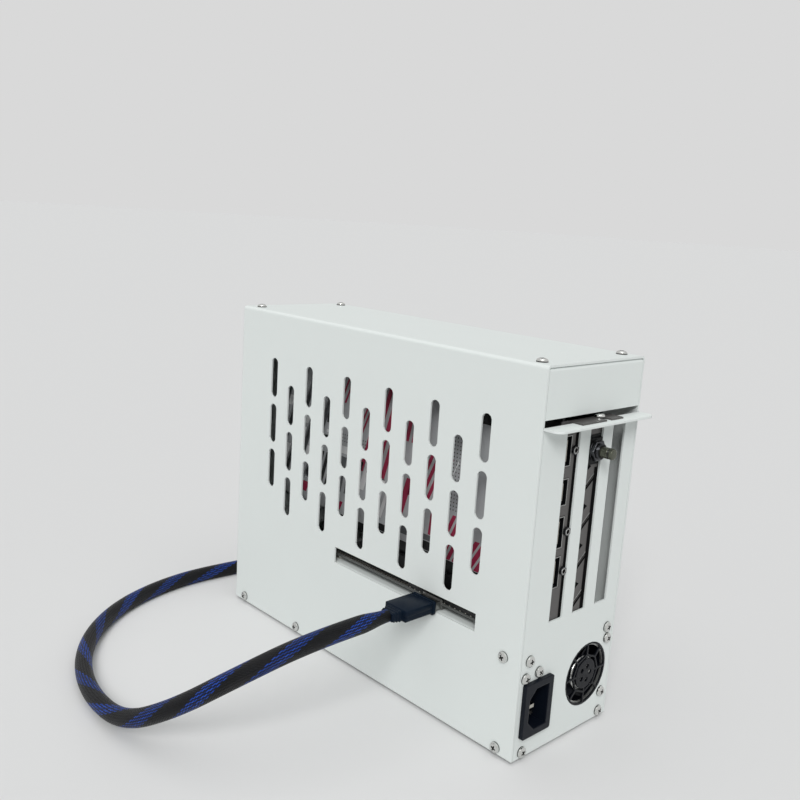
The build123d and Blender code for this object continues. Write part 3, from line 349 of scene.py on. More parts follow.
# Dock board: a circuit board on four pillars above the shelf, with the card's
# slot, the link port, a power socket, capacitors, chips, chokes and an edge hood.
# Solder mask over bare copper: a neutral grey, glossy at a low angle.
grey_mask = finish_of("grey_solder_mask", "#4E504F", 0.42, grain_mm=1.2, grain=0.12, mottle=0.12)
# Tinned copper and solder: silver with a slightly lumpy face.
solder_tin = finish_of("solder_tin", "#B9B6AC", 0.36, 0.8, grain_mm=0.7, grain=0.25, mottle=0.1)
# Nylon socket: matt black with crisp edges.
socket_nylon = finish_of(
    "socket_nylon", "#131416", 0.48, grain_mm=0.5, grain=0.2, mottle=0.08, edge_mm=0.3, shine=0.4
)
# Stamped steel, nickel plated: bright folded shells.
stamped_shell = finish_of(
    "stamped_shell", "#A8A8A6", 0.28, 1.0, grain_mm=0.8, grain=0.05, mottle=0.06, edge_mm=0.2
)
# Ferrite: dark grey blocks with rounded edges.
ferrite = finish_of("ferrite", "#2A2B2D", 0.55, grain_mm=0.8, grain=0.25, mottle=0.08)
board_low, board_high = mm_box("dock_board")
link_low, link_high = mm_box("link_port")
board_z = board_high.z
edge_y = board_low.y


def blocks(boxes, bevel):
    """Blocks with bevelled edges, each as its low and high corners in mm."""
    made = bmesh.new()
    for low, high in boxes:
        corners = bmesh.ops.create_cube(made, size=1.0)["verts"]
        size = Matrix.Diagonal((*[b - a for a, b in zip(low, high)], 1.0))
        middle = Matrix.Translation([(a + b) / 2 for a, b in zip(low, high)])
        bmesh.ops.transform(made, matrix=middle @ size, verts=corners)
    bmesh.ops.bevel(made, geom=made.edges[:], offset=bevel, segments=2, profile=0.5, affect="EDGES")
    bmesh.ops.scale(made, vec=(0.001, 0.001, 0.001), verts=made.verts)
    return mesh_of(made)


hood_start = 36.5
hood_end = board_high.x - 1.2
hood_front = edge_y + 0.4
hood_back = edge_y + 6.9
hood_top = board_z + 5.2
arch_start = link_low.x - 0.6
arch_end = link_high.x + 0.6
arch_rise = 1.7
joint = 0.1
strip_thick = 0.06
pad_pitch = 2.2
pin_pitch = 4.0
choke = 6.6
# A tinned strip along the board's front edge; its grey also stands in for the sheen on the board's margin,
# a painted sheen.
add_piece("edge_tin_and_sheen_strip", blocks([
    ((board_low.x + 1.3, edge_y + 0.3, board_z), (hood_start - 0.3, edge_y + 2.5, board_z + strip_thick)),
], 0.01), solder_tin)
add_piece("edge_pads", blocks([
    ((x, edge_y + 0.8, board_z + strip_thick), (x + 1.0, edge_y + 1.8, board_z + strip_thick + 0.04))
    for x in [board_low.x + 4.8 + pad_pitch * k for k in range(30)]
], 0.01), socket_nylon)
add_piece("edge_hood", blocks([
    ((hood_start, hood_front, board_z), (arch_start - joint, hood_back, hood_top)),
    ((arch_start, hood_front, board_z + arch_rise), (arch_end, hood_back, hood_top)),
    ((arch_end + joint, hood_front, board_z), (hood_end, hood_back, hood_top)),
], 0.3), socket_nylon)
add_piece("edge_hood_pins", blocks([
    ((x, hood_front - 0.3, board_z + 0.05), (x + 0.7, hood_front + 0.2, board_z + 0.6))
    for x in [hood_start + 1.5 + pin_pitch * k for k in range(16)]
    if not arch_start < x < arch_end
], 0.1), solder_tin)
add_piece("board_chips", blocks([
    ((x, y, board_z), (x + length, y + width, board_z + height))
    for x, y, length, width, height in (
        (-30, -16, 12, 12, 1.4), (-12, -10, 7, 7, 1.0), (8, -12, 9, 6, 1.2), (30, -10, 6, 9, 1.1),
        (84, -14, 9, 9, 1.3), (-26, 4, 6, 8, 1.2), (80, 8, 12, 7, 1.4), (-8, 14, 8, 5, 1.0),
    )
], 0.12), socket_nylon)
add_piece("board_chokes", blocks([
    ((x, y, board_z), (x + choke, y + choke, board_z + 3.0))
    for x, y in ((-32, 18), (-24, 18), (70, 20), (78, 20))
], 0.5), ferrite)
dress(grey_mask, "dock_board")
dress(nickel_plate, "board_standoffs")
dress(socket_nylon, "card_slot", "board_power_socket")
dress(stamped_shell, "link_port")
dress(rolled_can, "board_capacitors")

# Graphics card: a circuit board in the slot with finned cooler, moulded shroud
# and two fans on one face, and a printed backplate on short posts on the other.
# Painted aluminium: light grey, satin.
plate_paint = finish_of(
    "grey_plate_paint", "#BEC0C2", 0.42, grain_mm=0.6, grain=0.12, mottle=0.03, edge_mm=0.3
)
# Bare aluminium: bright thin fins.
bare_fins = finish_of("bare_aluminium", "#B9BBBD", 0.30, 1.0, grain_mm=0.8, grain=0.05, mottle=0.05)
# ABS: dark grey, matt, with a moulded grain.
shroud_abs = finish_of("dark_abs", "#26272A", 0.45, grain_mm=0.6, grain=0.2, mottle=0.06, edge_mm=0.6)
# Screen inks: flat crimson, white and black, and a flat grey for painted shadow.
crimson_ink = finish_of("crimson_ink", "#A81F49", 0.40, grain=0.1, mottle=0.04)
white_ink = finish_of("white_ink", "#F0F0F0", 0.40, grain=0.1, mottle=0.02)
black_ink = finish_of("black_ink", "#151517", 0.42, grain=0.1, mottle=0.05)
painted_shadow_grey = finish_of("painted_shadow_grey", "#626467", 0.42, grain=0.1, mottle=0.05)
plate_low, plate_high = mm_box("card_backplate")
shroud_low, shroud_high = mm_box("card_shroud")
ink_y = plate_low.y - 0.05
print_foot = plate_low.z + 0.4
print_head = plate_high.z - 0.8
slit_field_x = (shroud_low.x + mm_box("card_board")[0].x) / 2
plate_slit_lean = math.tan(math.radians(22.0))
bar_pitch = 11.0
bar_count = 4
patch_width = 4.6


def flat_print(name, shapes, material):
    """Printed shapes that face out from the backplate, outlines in mm along X and Z, anticlockwise."""
    made = bmesh.new()
    for outline in shapes:
        made.faces.new([made.verts.new((x * 0.001, ink_y * 0.001, z * 0.001)) for x, z in outline])
    mesh = bpy.data.meshes.new(name)
    made.to_mesh(mesh)
    made.free()
    add_piece(name, mesh, material, smooth_deg=0)


def leaning(x, width, low, high, lean):
    """A stripe between two heights that leans towards the bracket, its foot starting at x."""
    shift = (high - low) * lean
    return [(x, low), (x + width, low), (x + width + shift, high), (x + shift, high)]


def stripe_field(first, count, pitch, width, low, high, lean=0.45):
    """Parallel leaning stripes."""
    return [leaning(first + pitch * k, width, low, high, lean) for k in range(count)]


def bar_patch(bar, low, high):
    """A patch on one of the bars between the leaning slits, counted from the card's free end."""
    bar_x = slit_field_x + bar_pitch * (bar - (bar_count - 1) / 2)
    bar_x += (low - (print_foot + print_head) / 2) * plate_slit_lean
    return leaning(bar_x - patch_width / 2, patch_width, low, high, plate_slit_lean)


def dot_field(low_x, high_x, low_z, high_z, pitch, radius):
    """A grid of small printed dots."""
    corners = [(radius * math.cos(math.tau * k / 6), radius * math.sin(math.tau * k / 6)) for k in range(6)]
    across = int((high_x - low_x) / pitch)
    upward = int((high_z - low_z) / pitch)
    centres = [(low_x + pitch * i, low_z + pitch * k) for i in range(across) for k in range(upward)]
    return [[(x + dx, z + dz) for dx, dz in corners] for x, z in centres]


flat_print("crimson_stripes", (
    stripe_field(20, 5, 5.0, 2.7, 118, 148)
    + stripe_field(66, 4, 5.2, 3.5, print_foot, 106, 0.6)
    + stripe_field(46, 4, 4.6, 2.8, print_foot, 116)
    + stripe_field(-24, 4, 6.6, 3.6, 122, 178, 0.3)
    + stripe_field(-34, 4, 3.4, 1.5, 146, 168)
    + stripe_field(-54, 4, 4.2, 1.7, 162, 184)
    + stripe_field(4, 2, 8.0, 5.0, 104, 128, 0.3)
    + stripe_field(10, 3, 5.5, 3.2, 150, 164, 0.2)
    + stripe_field(30, 2, 9.5, 2.0, 99, 113, 0.1)
    + stripe_field(-86, 1, 8.0, 9.0, 94, 101)
    + stripe_field(-50, 2, 6.0, 3.0, 91, 97)
), crimson_ink)
flat_print("white_stripes", (
    stripe_field(-48, 1, 6.0, 16.0, 129, 134, 0.1)
    + stripe_field(-30, 2, 6.5, 4.6, 110, 128, 0.3)
    + stripe_field(-10, 2, 5.5, 3.0, 97, 114, 0.35)
    + stripe_field(-12, 1, 6.0, 12.0, 117, 121, 0.2)
    + stripe_field(-61, 2, 0.2, 8.5, 134.5, 137.5, 0.1)
    + stripe_field(-58, 1, 6.0, 7.0, 139.5, 141.5, 0.1)
    + stripe_field(-70, 2, 7.0, 2.2, 94, 101, 0.4)
    + stripe_field(8, 1, 6.0, 1.2, 104, 128, 0.3)
    + stripe_field(41, 2, 5.0, 0.9, 118, 148)
    + stripe_field(88, 2, 4.0, 0.9, print_foot, 106, 0.6)
    + [bar_patch(1, 108, 112), bar_patch(1, 115, 123), bar_patch(0, 150, 157), bar_patch(2, 125, 128)]
    + [bar_patch(2, 119, 123), bar_patch(2, 130, 138), bar_patch(2, 141, 147), bar_patch(3, 118, 126)]
), white_ink)
flat_print("black_shapes", (
    [[(66, 172.6), (105, 172.6), (105, 174.2), (91.5, 189.4), (66, 189.4)]]
    + stripe_field(-69, 3, 5.4, 3.2, 104, 126, 0.3)
    + stripe_field(-9, 1, 6.0, 14.0, print_foot, 93.5, 0.2)
    + stripe_field(30, 1, 6.0, 15.0, print_foot, 94.5, 0.2)
    + stripe_field(-58, 2, 7.5, 4.0, 146, 158, 0.2)
    + dot_field(47, 70, 119, 168, 2.2, 0.46)
    + dot_field(-48, -12, 137, 144, 2.2, 0.46)
), black_ink)
# Painted shadow on the backplate: flat grey shapes.
flat_print("painted_shadow_shapes", (
    stripe_field(6, 1, 6.0, 22.0, 93, 103, 0.1)
    + stripe_field(28, 1, 6.0, 20.0, 95, 98.5, 0.1)
    + stripe_field(-47, 2, 9.0, 6.0, 103, 127, 0.2)
    + stripe_field(-12, 1, 6.0, 12.0, 121.2, 121.9, 0.2)
), painted_shadow_grey)
dress(black_mask, "card_board")
dress(plate_paint, "card_backplate")
dress(bare_fins, "card_heatsink")
dress(shroud_abs, "card_shroud")
dress(fan_polyester, "card_fan_bases", "card_fan_1", "card_fan_2")
dress(socket_nylon, "card_power_socket")
lip_start = shroud_high.x - 0.2
lip_foot = 166.0
lip_y = shroud_high.y - 0.9
lip_half = 0.6
add_piece("shroud_end_lip", blocks([
    ((lip_start, lip_y - lip_half, lip_foot), (plate_high.x, lip_y + lip_half, shroud_high.z)),
], 0.3), shroud_abs)

# Card bracket: steel sheet with leaning slits, folded over the ledge and screwed
# down there, with the video ports' shells behind it, their hexagonal screws and
# dark strips of painted shadow where the panel's bars shade it.
# Black nickel plate: dark grey, a little warm, with a satin face.
black_nickel = finish_of(
    "black_nickel_plate", "#595756", 0.42, 0.35, grain_mm=0.8, grain=0.08, mottle=0.08, edge_mm=0.2
)
# Moulded port insert: dead black.
port_insert = finish_of(
    "port_insert", "#0C0D0F", 0.45, grain_mm=0.5, grain=0.1, mottle=0.06, edge_mm=0.2, shine=0.15
)
# Blackened steel: dark, with a bright glint on each flat.
black_steel = finish_of(
    "blackened_steel", "#4A4B4E", 0.22, 1.0, grain_mm=0.4, grain=0.06, mottle=0.08, edge_mm=0.3
)
# Dull black for painted shade: shadows beside the slots, in the screws' bores and along the slits.
shade_black = finish_of("painted_shade_black", "#0B0B0C", 0.9, grain_mm=0.6, grain=0.3, mottle=0.1, shine=0.05)
dress(black_nickel, "card_bracket")
dress(port_insert, "video_ports")
dress(black_steel, "bracket_screws")
screw_bore = 1.25
for number, (low, high) in enumerate(reversed(solid_boxes("bracket_screws")), start=1):
    centre = ((low.y + high.y) / 2, (low.z + high.z) / 2)
    # Round each bore, a bright ring of painted highlight, and in it a flat dark disc of painted shade.
    bore_glint = turned([
        (high.x - 0.05, screw_bore),
        (high.x + 0.1, screw_bore),
        (high.x + 0.1, screw_bore + 0.5),
        (high.x - 0.05, screw_bore + 0.65),
    ], centre, 24, ring=True)
    add_piece(f"screw_bore_glint_{number}", bore_glint, stamped_shell)
    bore_shade = turned([(high.x, screw_bore), (high.x + 0.02, screw_bore)], centre, 24)
    add_piece(f"screw_bore_shade_{number}", bore_shade, shade_black)
bracket_sheet = 0.9
bracket_face = mm_box("card_bracket")[0].x + bracket_sheet
ports = solid_boxes("video_ports")[::-1]
rim = 0.5
rim_back = bracket_face - 0.1
rim_front = bracket_face + 0.2
add_piece("port_rims", blocks([
    bar for low, high in ports for bar in (
        ((rim_back, low.y, low.z), (rim_front, low.y + rim, high.z)),
        ((rim_back, high.y - rim, low.z), (rim_front, high.y, high.z)),
        ((rim_back, low.y + rim, low.z), (rim_front, high.y - rim, low.z + rim)),
        ((rim_back, low.y + rim, high.z - rim), (rim_front, high.y - rim, high.z)),
    )
], 0.08), stamped_shell)
contact_back = bracket_face - 0.8
contact_front = bracket_face - 0.4
contact_y = (ports[0][0].y + ports[0][1].y) / 2
inset = 2.6
add_piece("port_contacts", blocks([
    ((contact_back, contact_y - 0.1, low.z + inset), (contact_front, contact_y + 0.4, high.z - inset))
    for low, high in ports
], 0.05), solder_tin)
# Painted shadow: dark strips on the bracket beside the panel's bars.
shadow_strip_back = bracket_face + 0.02
shadow_strip_front = bracket_face + 0.26
shadow_strip_foot = 74.5
add_piece("slot_bar_shadows", blocks([
    ((shadow_strip_back, -11.9, shadow_strip_foot), (shadow_strip_front, -8.4, 181.0)),
    ((shadow_strip_back, 7.6, shadow_strip_foot), (shadow_strip_front, 11.8, 155.5)),
], 0.06), shade_black)
tab_low, tab_high = mm_box("bracket_tab_screw")
slit_y = (tab_low.y + tab_high.y) / 2
slit_drop = 34.0
slit_pitch = 22.0
slit_heights = [mm_box("rear_panel")[1].z - slit_drop - slit_pitch * k for k in range(4)]
slit_lean = math.radians(38.0)
slit_half = 0.8
strip_half = 5.8


def thin_plates(outlines, back, front):
    """Flat plates on the bracket's face, their outlines in mm along Y and Z."""
    made = bmesh.new()
    for outline in outlines:
        rings = [[made.verts.new((x, y, z)) for y, z in outline] for x in (back, front)]
        for k in range(len(outline)):
            made.faces.new((rings[0][k - 1], rings[0][k], rings[1][k], rings[1][k - 1]))
        for ring in rings:
            made.faces.new(ring)
    bmesh.ops.scale(made, vec=(0.001, 0.001, 0.001), verts=made.verts)
    return mesh_of(made)


def along_slit(z, low, high):
    """A strip beside the slit at that height, its edges in mm across the slit."""
    corners = ((-strip_half, low), (strip_half, low), (strip_half, high), (-strip_half, high))
    lean_y = math.cos(slit_lean)
    lean_z = math.sin(slit_lean)
    return [(slit_y + a * lean_y - b * lean_z, z + a * lean_z + b * lean_y) for a, b in corners]


# Painted shade on the bracket's face: a dark strip along each slit's lower edge that widens it, and a dark
# triangle beside each slit.
plate_back = bracket_face - 0.02
add_piece("slit_painted_shade", thin_plates([
    outline for z in slit_heights for outline in (
        along_slit(z, -slit_half - 1.2, -slit_half + 0.1),
        [(0.4, z + 5.4), (4.4, z + 8.0), (0.4, z + 10.2)],
    )
], plate_back, bracket_face + 0.06), shade_black, smooth_deg=0)
# Painted highlight: a bright strip along each slit's upper edge.
slit_edge_highlights = thin_plates(
    [along_slit(z, slit_half, slit_half + 0.4) for z in slit_heights], plate_back, bracket_face + 0.1
)
add_piece("slit_edge_highlights", slit_edge_highlights, stamped_shell, smooth_deg=0)

# Push button: a threaded bushing through a moulded filler in the second slot,
# held by a star washer and a nut, with a round cap that slides in it.
# Anodised aluminium: olive grey, with a soft metallic shine.
olive_anodise = finish_of(
    "olive_anodise", "#5C5E53", 0.26, 0.75, grain_mm=0.4, grain=0.08, mottle=0.06, edge_mm=0.3
)
dress(port_insert, "switch_holder", "switch_body")
cap_low, cap_high = mm_box("switch_cap")
button_axis = ((cap_low.y + cap_high.y) / 2, (cap_low.z + cap_high.z) / 2)
washer_back = mm_box("switch_washer")[0].x
washer_front = mm_box("switch_washer")[1].x
nut_front = mm_box("switch_nut")[1].x
bushing = 3.8
washer_radius = 5.6
washer = turned([
    (washer_back, bushing + 0.05),
    (washer_back, washer_radius - 0.15),
    (washer_back + 0.15, washer_radius),
    (washer_front - 0.15, washer_radius),
    (washer_front, washer_radius - 0.15),
    (washer_front, bushing + 0.05),
], button_axis, 44, ring=True)
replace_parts(add_piece("star_washer", washer, black_steel), "switch_washer")
nut_radius = 6.0
nut = turned([
    (washer_front, bushing + 0.4),
    (washer_front, nut_radius - 0.5),
    (washer_front + 0.3, nut_radius),
    (nut_front - 0.3, nut_radius),
    (nut_front, nut_radius - 0.5),
    (nut_front, bushing + 0.4),
], button_axis, 6, ring=True)
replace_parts(add_piece("hex_nut", nut, black_steel), "switch_nut")
half_thread = 0.25
thread = [(nut_front + half_thread * k, bushing + (0.05 if k % 2 else 0.25)) for k in range(7)]
thread = turned(
    [(nut_front, bushing - 0.1)] + thread + [(nut_front + 1.6, bushing - 0.1)], button_axis, 40, ring=True
)
add_piece("bushing_thread", thread, black_steel, smooth_deg=20)
cap_tip = cap_high.x
cap_radius = (cap_high.y - cap_low.y) / 2
groove_back = cap_tip - 3.0
groove_front = cap_tip - 2.3
groove_depth = 0.2
cap = turned([
    (cap_low.x, cap_radius),
    (groove_back - 0.2, cap_radius),
    (groove_back, cap_radius - groove_depth),
    (groove_front, cap_radius - groove_depth),
    (groove_front + 0.2, cap_radius),
    (cap_tip - 0.9, cap_radius),
    (cap_tip - 0.3, cap_radius - 0.2),
    (cap_tip - 0.05, cap_radius - 0.6),
    (cap_tip, cap_radius - 1.3),
], button_axis, 40)
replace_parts(add_piece("round_cap", cap, olive_anodise, body="button"), "switch_cap")
# Painted shade: a dark ring in the cap's groove.
groove_shade_ring = turned([
    (groove_back + 0.05, cap_radius - 0.25),
    (groove_back + 0.05, cap_radius - 0.08),
    (groove_front - 0.05, cap_radius - 0.08),
    (groove_front - 0.05, cap_radius - 0.25),
], button_axis, 40, ring=True)
add_piece("cap_groove_shade", groove_shade_ring, black_steel, body="button")

# Link plug: two moulded halves round a stamped nose, the upper one wider, with a
# lip at the port and a ribbed neck that clamps the braid, the same at both ends.
# PVC: blue-black, smooth, with a soft line of light along its edges.
plug_pvc = finish_of(
    "plug_pvc", "#0D1825", 0.38, grain_mm=0.5, grain=0.18, mottle=0.06, edge_mm=0.6, shine=0.09
)
dress(plug_pvc, "link_plug", "far_plug")
dress(stamped_shell, "link_plug_nose", "far_plug_nose")
cable_route = [
    (0.057, -0.0928, 0.0668),
    (0.057, -0.126, 0.0668),
    (0.044, -0.159, 0.053),
    (0.016, -0.178, 0.029),
    (-0.018, -0.188, 0.009),
    (-0.058, -0.187, 0.005),
    (-0.097, -0.176, 0.005),
    (-0.131, -0.154, 0.005),
    (-0.157, -0.123, 0.005),
    (-0.172, -0.086, 0.005),
    (-0.177, -0.046, 0.005),
    (-0.172, -0.008, 0.005),
]
swell_length = 0.020
near_way = (Vector(cable_route[0]) - Vector(cable_route[1])).normalized()
far_way = (Vector(cable_route[-1]) - Vector(cable_route[-2])).normalized()
near_neck = Vector(cable_route[0]) + near_way * swell_length
far_neck = Vector(cable_route[-1]) + far_way * swell_length
rib_count = 3
rib_start = 1.3
rib_pitch = 1.9
rib_wide = 9.7
rib_tall = 5.3
rib_growth = 0.5
rib_half = 0.4
neck_ribs = [
    ((-wide / 2, along - rib_half, -tall / 2), (wide / 2, along + rib_half, tall / 2))
    for along, wide, tall in [
        (rib_start + rib_pitch * k, rib_wide + rib_growth * k, rib_tall + rib_growth * k)
        for k in range(rib_count)
    ]
]
upper_half = [((-8.7, 6.5, 0.3), (8.7, 26.4, 3.65))]


def plug_trim(name, boxes, bevel, start, way):
    """Blocks on a plug, in mm across it, along it from its neck's end, and up."""
    made = blocks(boxes, bevel)
    sideways = way.cross(Vector((0, 0, 1)))
    turn = Matrix((sideways, way, sideways.cross(way))).transposed().to_4x4()
    made.transform(Matrix.Translation(start) @ turn)
    return add_piece(name, made, plug_pvc)


plug_trims = [
    plug_trim("near_plug_ribs", neck_ribs, 0.25, near_neck, near_way),
    plug_trim("far_plug_ribs", neck_ribs, 0.25, far_neck, far_way),
    plug_trim("near_plug_half", upper_half, 0.45, near_neck, near_way),
    plug_trim("far_plug_half", upper_half, 0.45, far_neck, far_way),
]

# Link cable: a round bundle of pairs drawn through an expanding braid, about
# half a metre long, falling from the plug and lying round the case.
cable_line = bpy.data.curves.new("cable_line", "CURVE")
cable_line.dimensions = "3D"
spline = cable_line.splines.new("NURBS")
spline.points.add(len(cable_route) - 1)
for point, place in zip(spline.points, cable_route):
    point.co = (*place, 1.0)
spline.order_u = 3
spline.use_endpoint_u = True
spline.resolution_u = 24
line_holder = bpy.data.objects.new("cable_line", cable_line)
bpy.context.scene.collection.objects.link(line_holder)
bpy.context.view_layer.update()
drawn_line = line_holder.evaluated_get(bpy.context.evaluated_depsgraph_get())
cable_points = [vert.co.copy() for vert in bpy.data.meshes.new_from_object(drawn_line).vertices]
bpy.data.objects.remove(line_holder)
cable_radius = 0.005
neck_radius = 0.0035


def tube_mesh(points, radii, start, sides=40):
    """A braided tube along a line, its UVs one turn across and the same scale along."""
    made = bmesh.new()
    uv = made.loops.layers.uv.new("turns")
    angles = [math.tau * k / sides for k in range(sides)]
    normal = Vector((1, 0, 0))
    rings = []
    lengths = []
    length = start
    for i, (point, radius) in enumerate(zip(points, radii)):
        ahead = (points[min(i + 1, len(points) - 1)] - points[max(i - 1, 0)]).normalized()
        normal = (normal - ahead * normal.dot(ahead)).normalized()
        across = ahead.cross(normal)
        if i:
            length += (point - points[i - 1]).length
        lengths.append(length / (math.tau * cable_radius))
        spokes = [normal * math.cos(angle) + across * math.sin(angle) for angle in angles]
        rings.append([made.verts.new(point + radius * spoke) for spoke in spokes])
    for i in range(len(rings) - 1):
        for k in range(sides):
            n = (k + 1) % sides
            face = made.faces.new((rings[i][k], rings[i][n], rings[i + 1][n], rings[i + 1][k]))
            corners = ((k, i), (k + 1, i), (k + 1, i + 1), (k, i + 1))
            for loop, (turn, along) in zip(face.loops, corners):
                loop[uv].uv = (turn / sides, lengths[along])
    made.faces.new(rings[0][::-1])
    made.faces.new(rings[-1])
    return mesh_of(made)


# Braided polyester: flat strands of a few filaments in a twill, two over and two
# under, black with two bands of blue that wind round, each strand of its own tone,
# and darker towards its edges: painted shade in the grooves between strands.
braid = bpy.data.materials.new("braided_polyester")
braid.use_nodes = True
tree = braid.node_tree
strand_mm = 0.7
twill = 4
over_from = twill / 2 - 0.5
strands = twill * round(math.tau * cable_radius * 1000 / strand_mm / twill)
steepness = 0.36
blue_bands = 2
blue_share = 0.40
band_strands = strands / blue_bands
darkest_dye = 0.35
palest_dye = 1.5
groove_shade_tone = 0.10
strand_relief = 0.0004
turns = add_node(tree, "ShaderNodeUVMap", uv_map="turns").outputs["UV"]
split = add_node(tree, "ShaderNodeSeparateXYZ", {"Vector": turns}).outputs
around = add_node(tree, "ShaderNodeMath", {0: split["X"], 1: strands}, operation="MULTIPLY").outputs[0]
along = add_node(
    tree,
    "ShaderNodeMath",
    {0: split["Y"], 1: strands * steepness},
    operation="MULTIPLY",
).outputs[0]
left = add_node(tree, "ShaderNodeMath", {0: around, 1: along}, operation="ADD").outputs[0]
right = add_node(tree, "ShaderNodeMath", {0: around, 1: along}, operation="SUBTRACT").outputs[0]
left_index = add_node(tree, "ShaderNodeMath", {0: left}, operation="FLOOR").outputs[0]
right_index = add_node(tree, "ShaderNodeMath", {0: right}, operation="FLOOR").outputs[0]
pair = add_node(tree, "ShaderNodeMath", {0: left_index, 1: right_index}, operation="ADD").outputs[0]
twill_step = add_node(tree, "ShaderNodeMath", {0: pair, 1: twill}, operation="FLOORED_MODULO").outputs[0]
over = add_node(tree, "ShaderNodeMath", {0: twill_step, 1: over_from}, operation="GREATER_THAN").outputs[0]
under = add_node(tree, "ShaderNodeMath", {0: 1.0, 1: over}, operation="SUBTRACT").outputs[0]
crowns = []
for family in (left, right):
    part = add_node(tree, "ShaderNodeMath", {0: family}, operation="FRACT").outputs[0]
    swing = add_node(tree, "ShaderNodeMath", {0: part, 1: math.pi}, operation="MULTIPLY").outputs[0]
    crowns.append(add_node(tree, "ShaderNodeMath", {0: swing}, operation="SINE").outputs[0])
crown = add_node(tree, "ShaderNodeMix", {0: over, 2: crowns[0], 3: crowns[1]}).outputs[0]
left_place = add_node(
    tree,
    "ShaderNodeMath",
    {0: left_index, 1: band_strands},
    operation="FLOORED_MODULO",
).outputs[0]
left_blue = add_node(
    tree,
    "ShaderNodeMath",
    {0: left_place, 1: band_strands * blue_share},
    operation="LESS_THAN",
).outputs[0]
blue = add_node(tree, "ShaderNodeMath", {0: left_blue, 1: under}, operation="MULTIPLY").outputs[0]
strand_colour = add_node(
    tree,
    "ShaderNodeMix",
    {"Factor": blue, 6: linear("#0D0E13"), 7: linear("#1B4AAE")},
    data_type="RGBA",
).outputs[2]
index = add_node(tree, "ShaderNodeMix", {0: over, 2: left_index, 3: right_index}).outputs[0]
seed = add_node(tree, "ShaderNodeMath", {0: index, 1: strands}, operation="FLOORED_MODULO").outputs[0]
dye = add_node(tree, "ShaderNodeTexWhiteNoise", {"W": seed}, noise_dimensions="1D").outputs["Value"]
tone = add_node(tree, "ShaderNodeMapRange", {"Value": dye, 3: darkest_dye, 4: palest_dye}).outputs["Result"]
# Painted shade: each strand darkens towards its edges, in the grooves between strands.
groove_shade = add_node(tree, "ShaderNodeMapRange", {"Value": crown, 3: groove_shade_tone, 4: 1.0}).outputs["Result"]
dye_and_groove_shade = add_node(tree, "ShaderNodeMath", {0: tone, 1: groove_shade}, operation="MULTIPLY").outputs[0]
shaded = add_node(tree, "ShaderNodeVectorMath", {0: strand_colour, 3: dye_and_groove_shade}, operation="SCALE")
shader = tree.nodes["Principled BSDF"]
tree.links.new(shaded.outputs["Vector"], shader.inputs["Base Color"])
shader.inputs["Roughness"].default_value = 0.40
shader.inputs["Specular IOR Level"].default_value = 0.25
relief = add_node(tree, "ShaderNodeBump", {"Height": crown, "Strength": 0.9, "Distance": strand_relief})
tree.links.new(relief.outputs["Normal"], shader.inputs["Normal"])

cable = tube_mesh(cable_points, [cable_radius] * len(cable_points), 0.0)
link_cable = add_piece("link_cable_braid", cable, braid, smooth_deg=60)
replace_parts(link_cable, "link_cable")
cable_length = 0.43
swell_steps = 20
swell_share = [(1 - math.cos(math.pi * k / swell_steps)) / 2 for k in range(swell_steps + 1)]
swell = [neck_radius + (cable_radius - neck_radius) * share for share in swell_share]
step = swell_length / swell_steps
near_line = [near_neck - near_way * step * k for k in range(swell_steps + 1)]
near_tube = tube_mesh(near_line, swell, -swell_length)
near_swell = add_piece("near_braid_end", near_tube, braid, smooth_deg=60)
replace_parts(near_swell, "link_plug_sleeve")
far_line = [cable_points[-1] + far_way * step * k for k in range(swell_steps + 1)]
far_tube = tube_mesh(far_line, swell[::-1], cable_length)
far_swell = add_piece("far_braid_end", far_tube, braid, smooth_deg=60)
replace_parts(far_swell, "far_plug_sleeve")

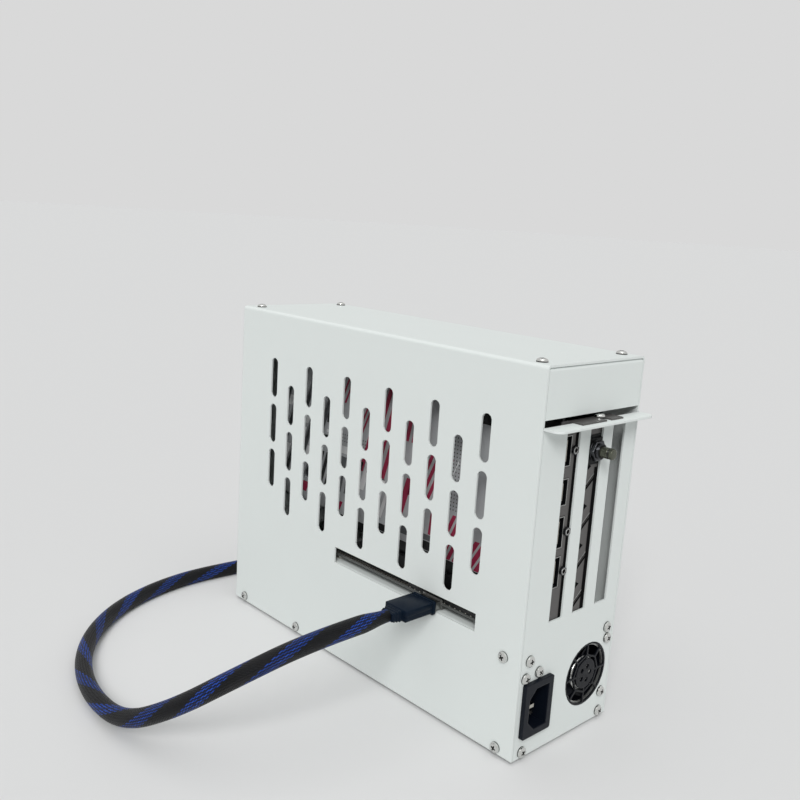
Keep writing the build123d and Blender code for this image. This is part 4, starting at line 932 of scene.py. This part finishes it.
# Stage: a plain pale floor of paper, wide enough to meet the backdrop out of
# sight.
# Matt paper: one even tone that keeps the object's shadow.
floor_paper = finish_of("floor_paper", "#D9D9D9", 0.95, grain_mm=4.0, grain=0.0, mottle=0.0, shine=0.0)
floor_reach = 40.0
floor_corners = [(floor_reach * x, floor_reach * y) for x, y in ((-1, -1), (1, -1), (1, 1), (-1, 1))]
floor_mesh = bpy.data.meshes.new("floor")
floor_mesh.from_pydata([(x, y, 0.0) for x, y in floor_corners], [], [(0, 1, 2, 3)])
floor_mesh.materials.append(floor_paper)
floor = bpy.data.objects.new("floor", floor_mesh)
bpy.context.scene.collection.objects.link(floor)

# Light: an even white room whose walls show as a plain pale backdrop, a broad
# lamp beside the camera and a broad lamp above.
world = bpy.data.worlds.new("white_room")
bpy.context.scene.world = world
world.use_nodes = True
tree = world.node_tree
room = tree.nodes["Background"]
room.inputs["Color"].default_value = linear("#F6F8F8")
room.inputs["Strength"].default_value = 0.42
backdrop = add_node(tree, "ShaderNodeBackground", {"Color": linear("#D9D9D9"), "Strength": 1.0})
rays = add_node(tree, "ShaderNodeLightPath").outputs
seen = rays["Is Camera Ray"]
for kind in ("Is Glossy Ray", "Is Transmission Ray"):
    seen = add_node(tree, "ShaderNodeMath", {0: seen, 1: rays[kind]}, operation="MAXIMUM").outputs[0]
walls = add_node(
    tree,
    "ShaderNodeMixShader",
    {"Fac": seen, 1: room.outputs["Background"], 2: backdrop.outputs["Background"]},
)
tree.links.new(walls.outputs["Shader"], tree.nodes["World Output"].inputs["Surface"])


def add_lamp(name, toward, strength, spread_deg):
    """A far broad lamp, even over the whole scene."""
    lamp = bpy.data.lights.new(name, "SUN")
    lamp.energy = strength
    lamp.angle = math.radians(spread_deg)
    holder = bpy.data.objects.new(name, lamp)
    holder.rotation_euler = Vector(toward).to_track_quat("-Z", "Y").to_euler()
    bpy.context.scene.collection.objects.link(holder)


add_lamp("front_lamp", (-0.5, 0.62, -0.6), 1.85, 24)
add_lamp("top_lamp", (-0.15, 0.12, -1.0), 0.85, 70)

# Camera: the photograph's place and lens, fitted to the case's corners, with
# the photograph's slight roll.
camera = bpy.data.cameras.new("camera")
camera.sensor_fit = "HORIZONTAL"
camera.sensor_width = 36.0
camera.lens = 40.6
holder = bpy.data.objects.new("camera", camera)
holder.location = (0.38684, -0.38886, 0.27767)
holder.rotation_euler = [math.radians(angle) for angle in (78.676, -3.5765, 46.976)]
bpy.context.scene.collection.objects.link(holder)
bpy.context.scene.camera = holder
bpy.context.scene.view_settings.view_transform = "Standard"
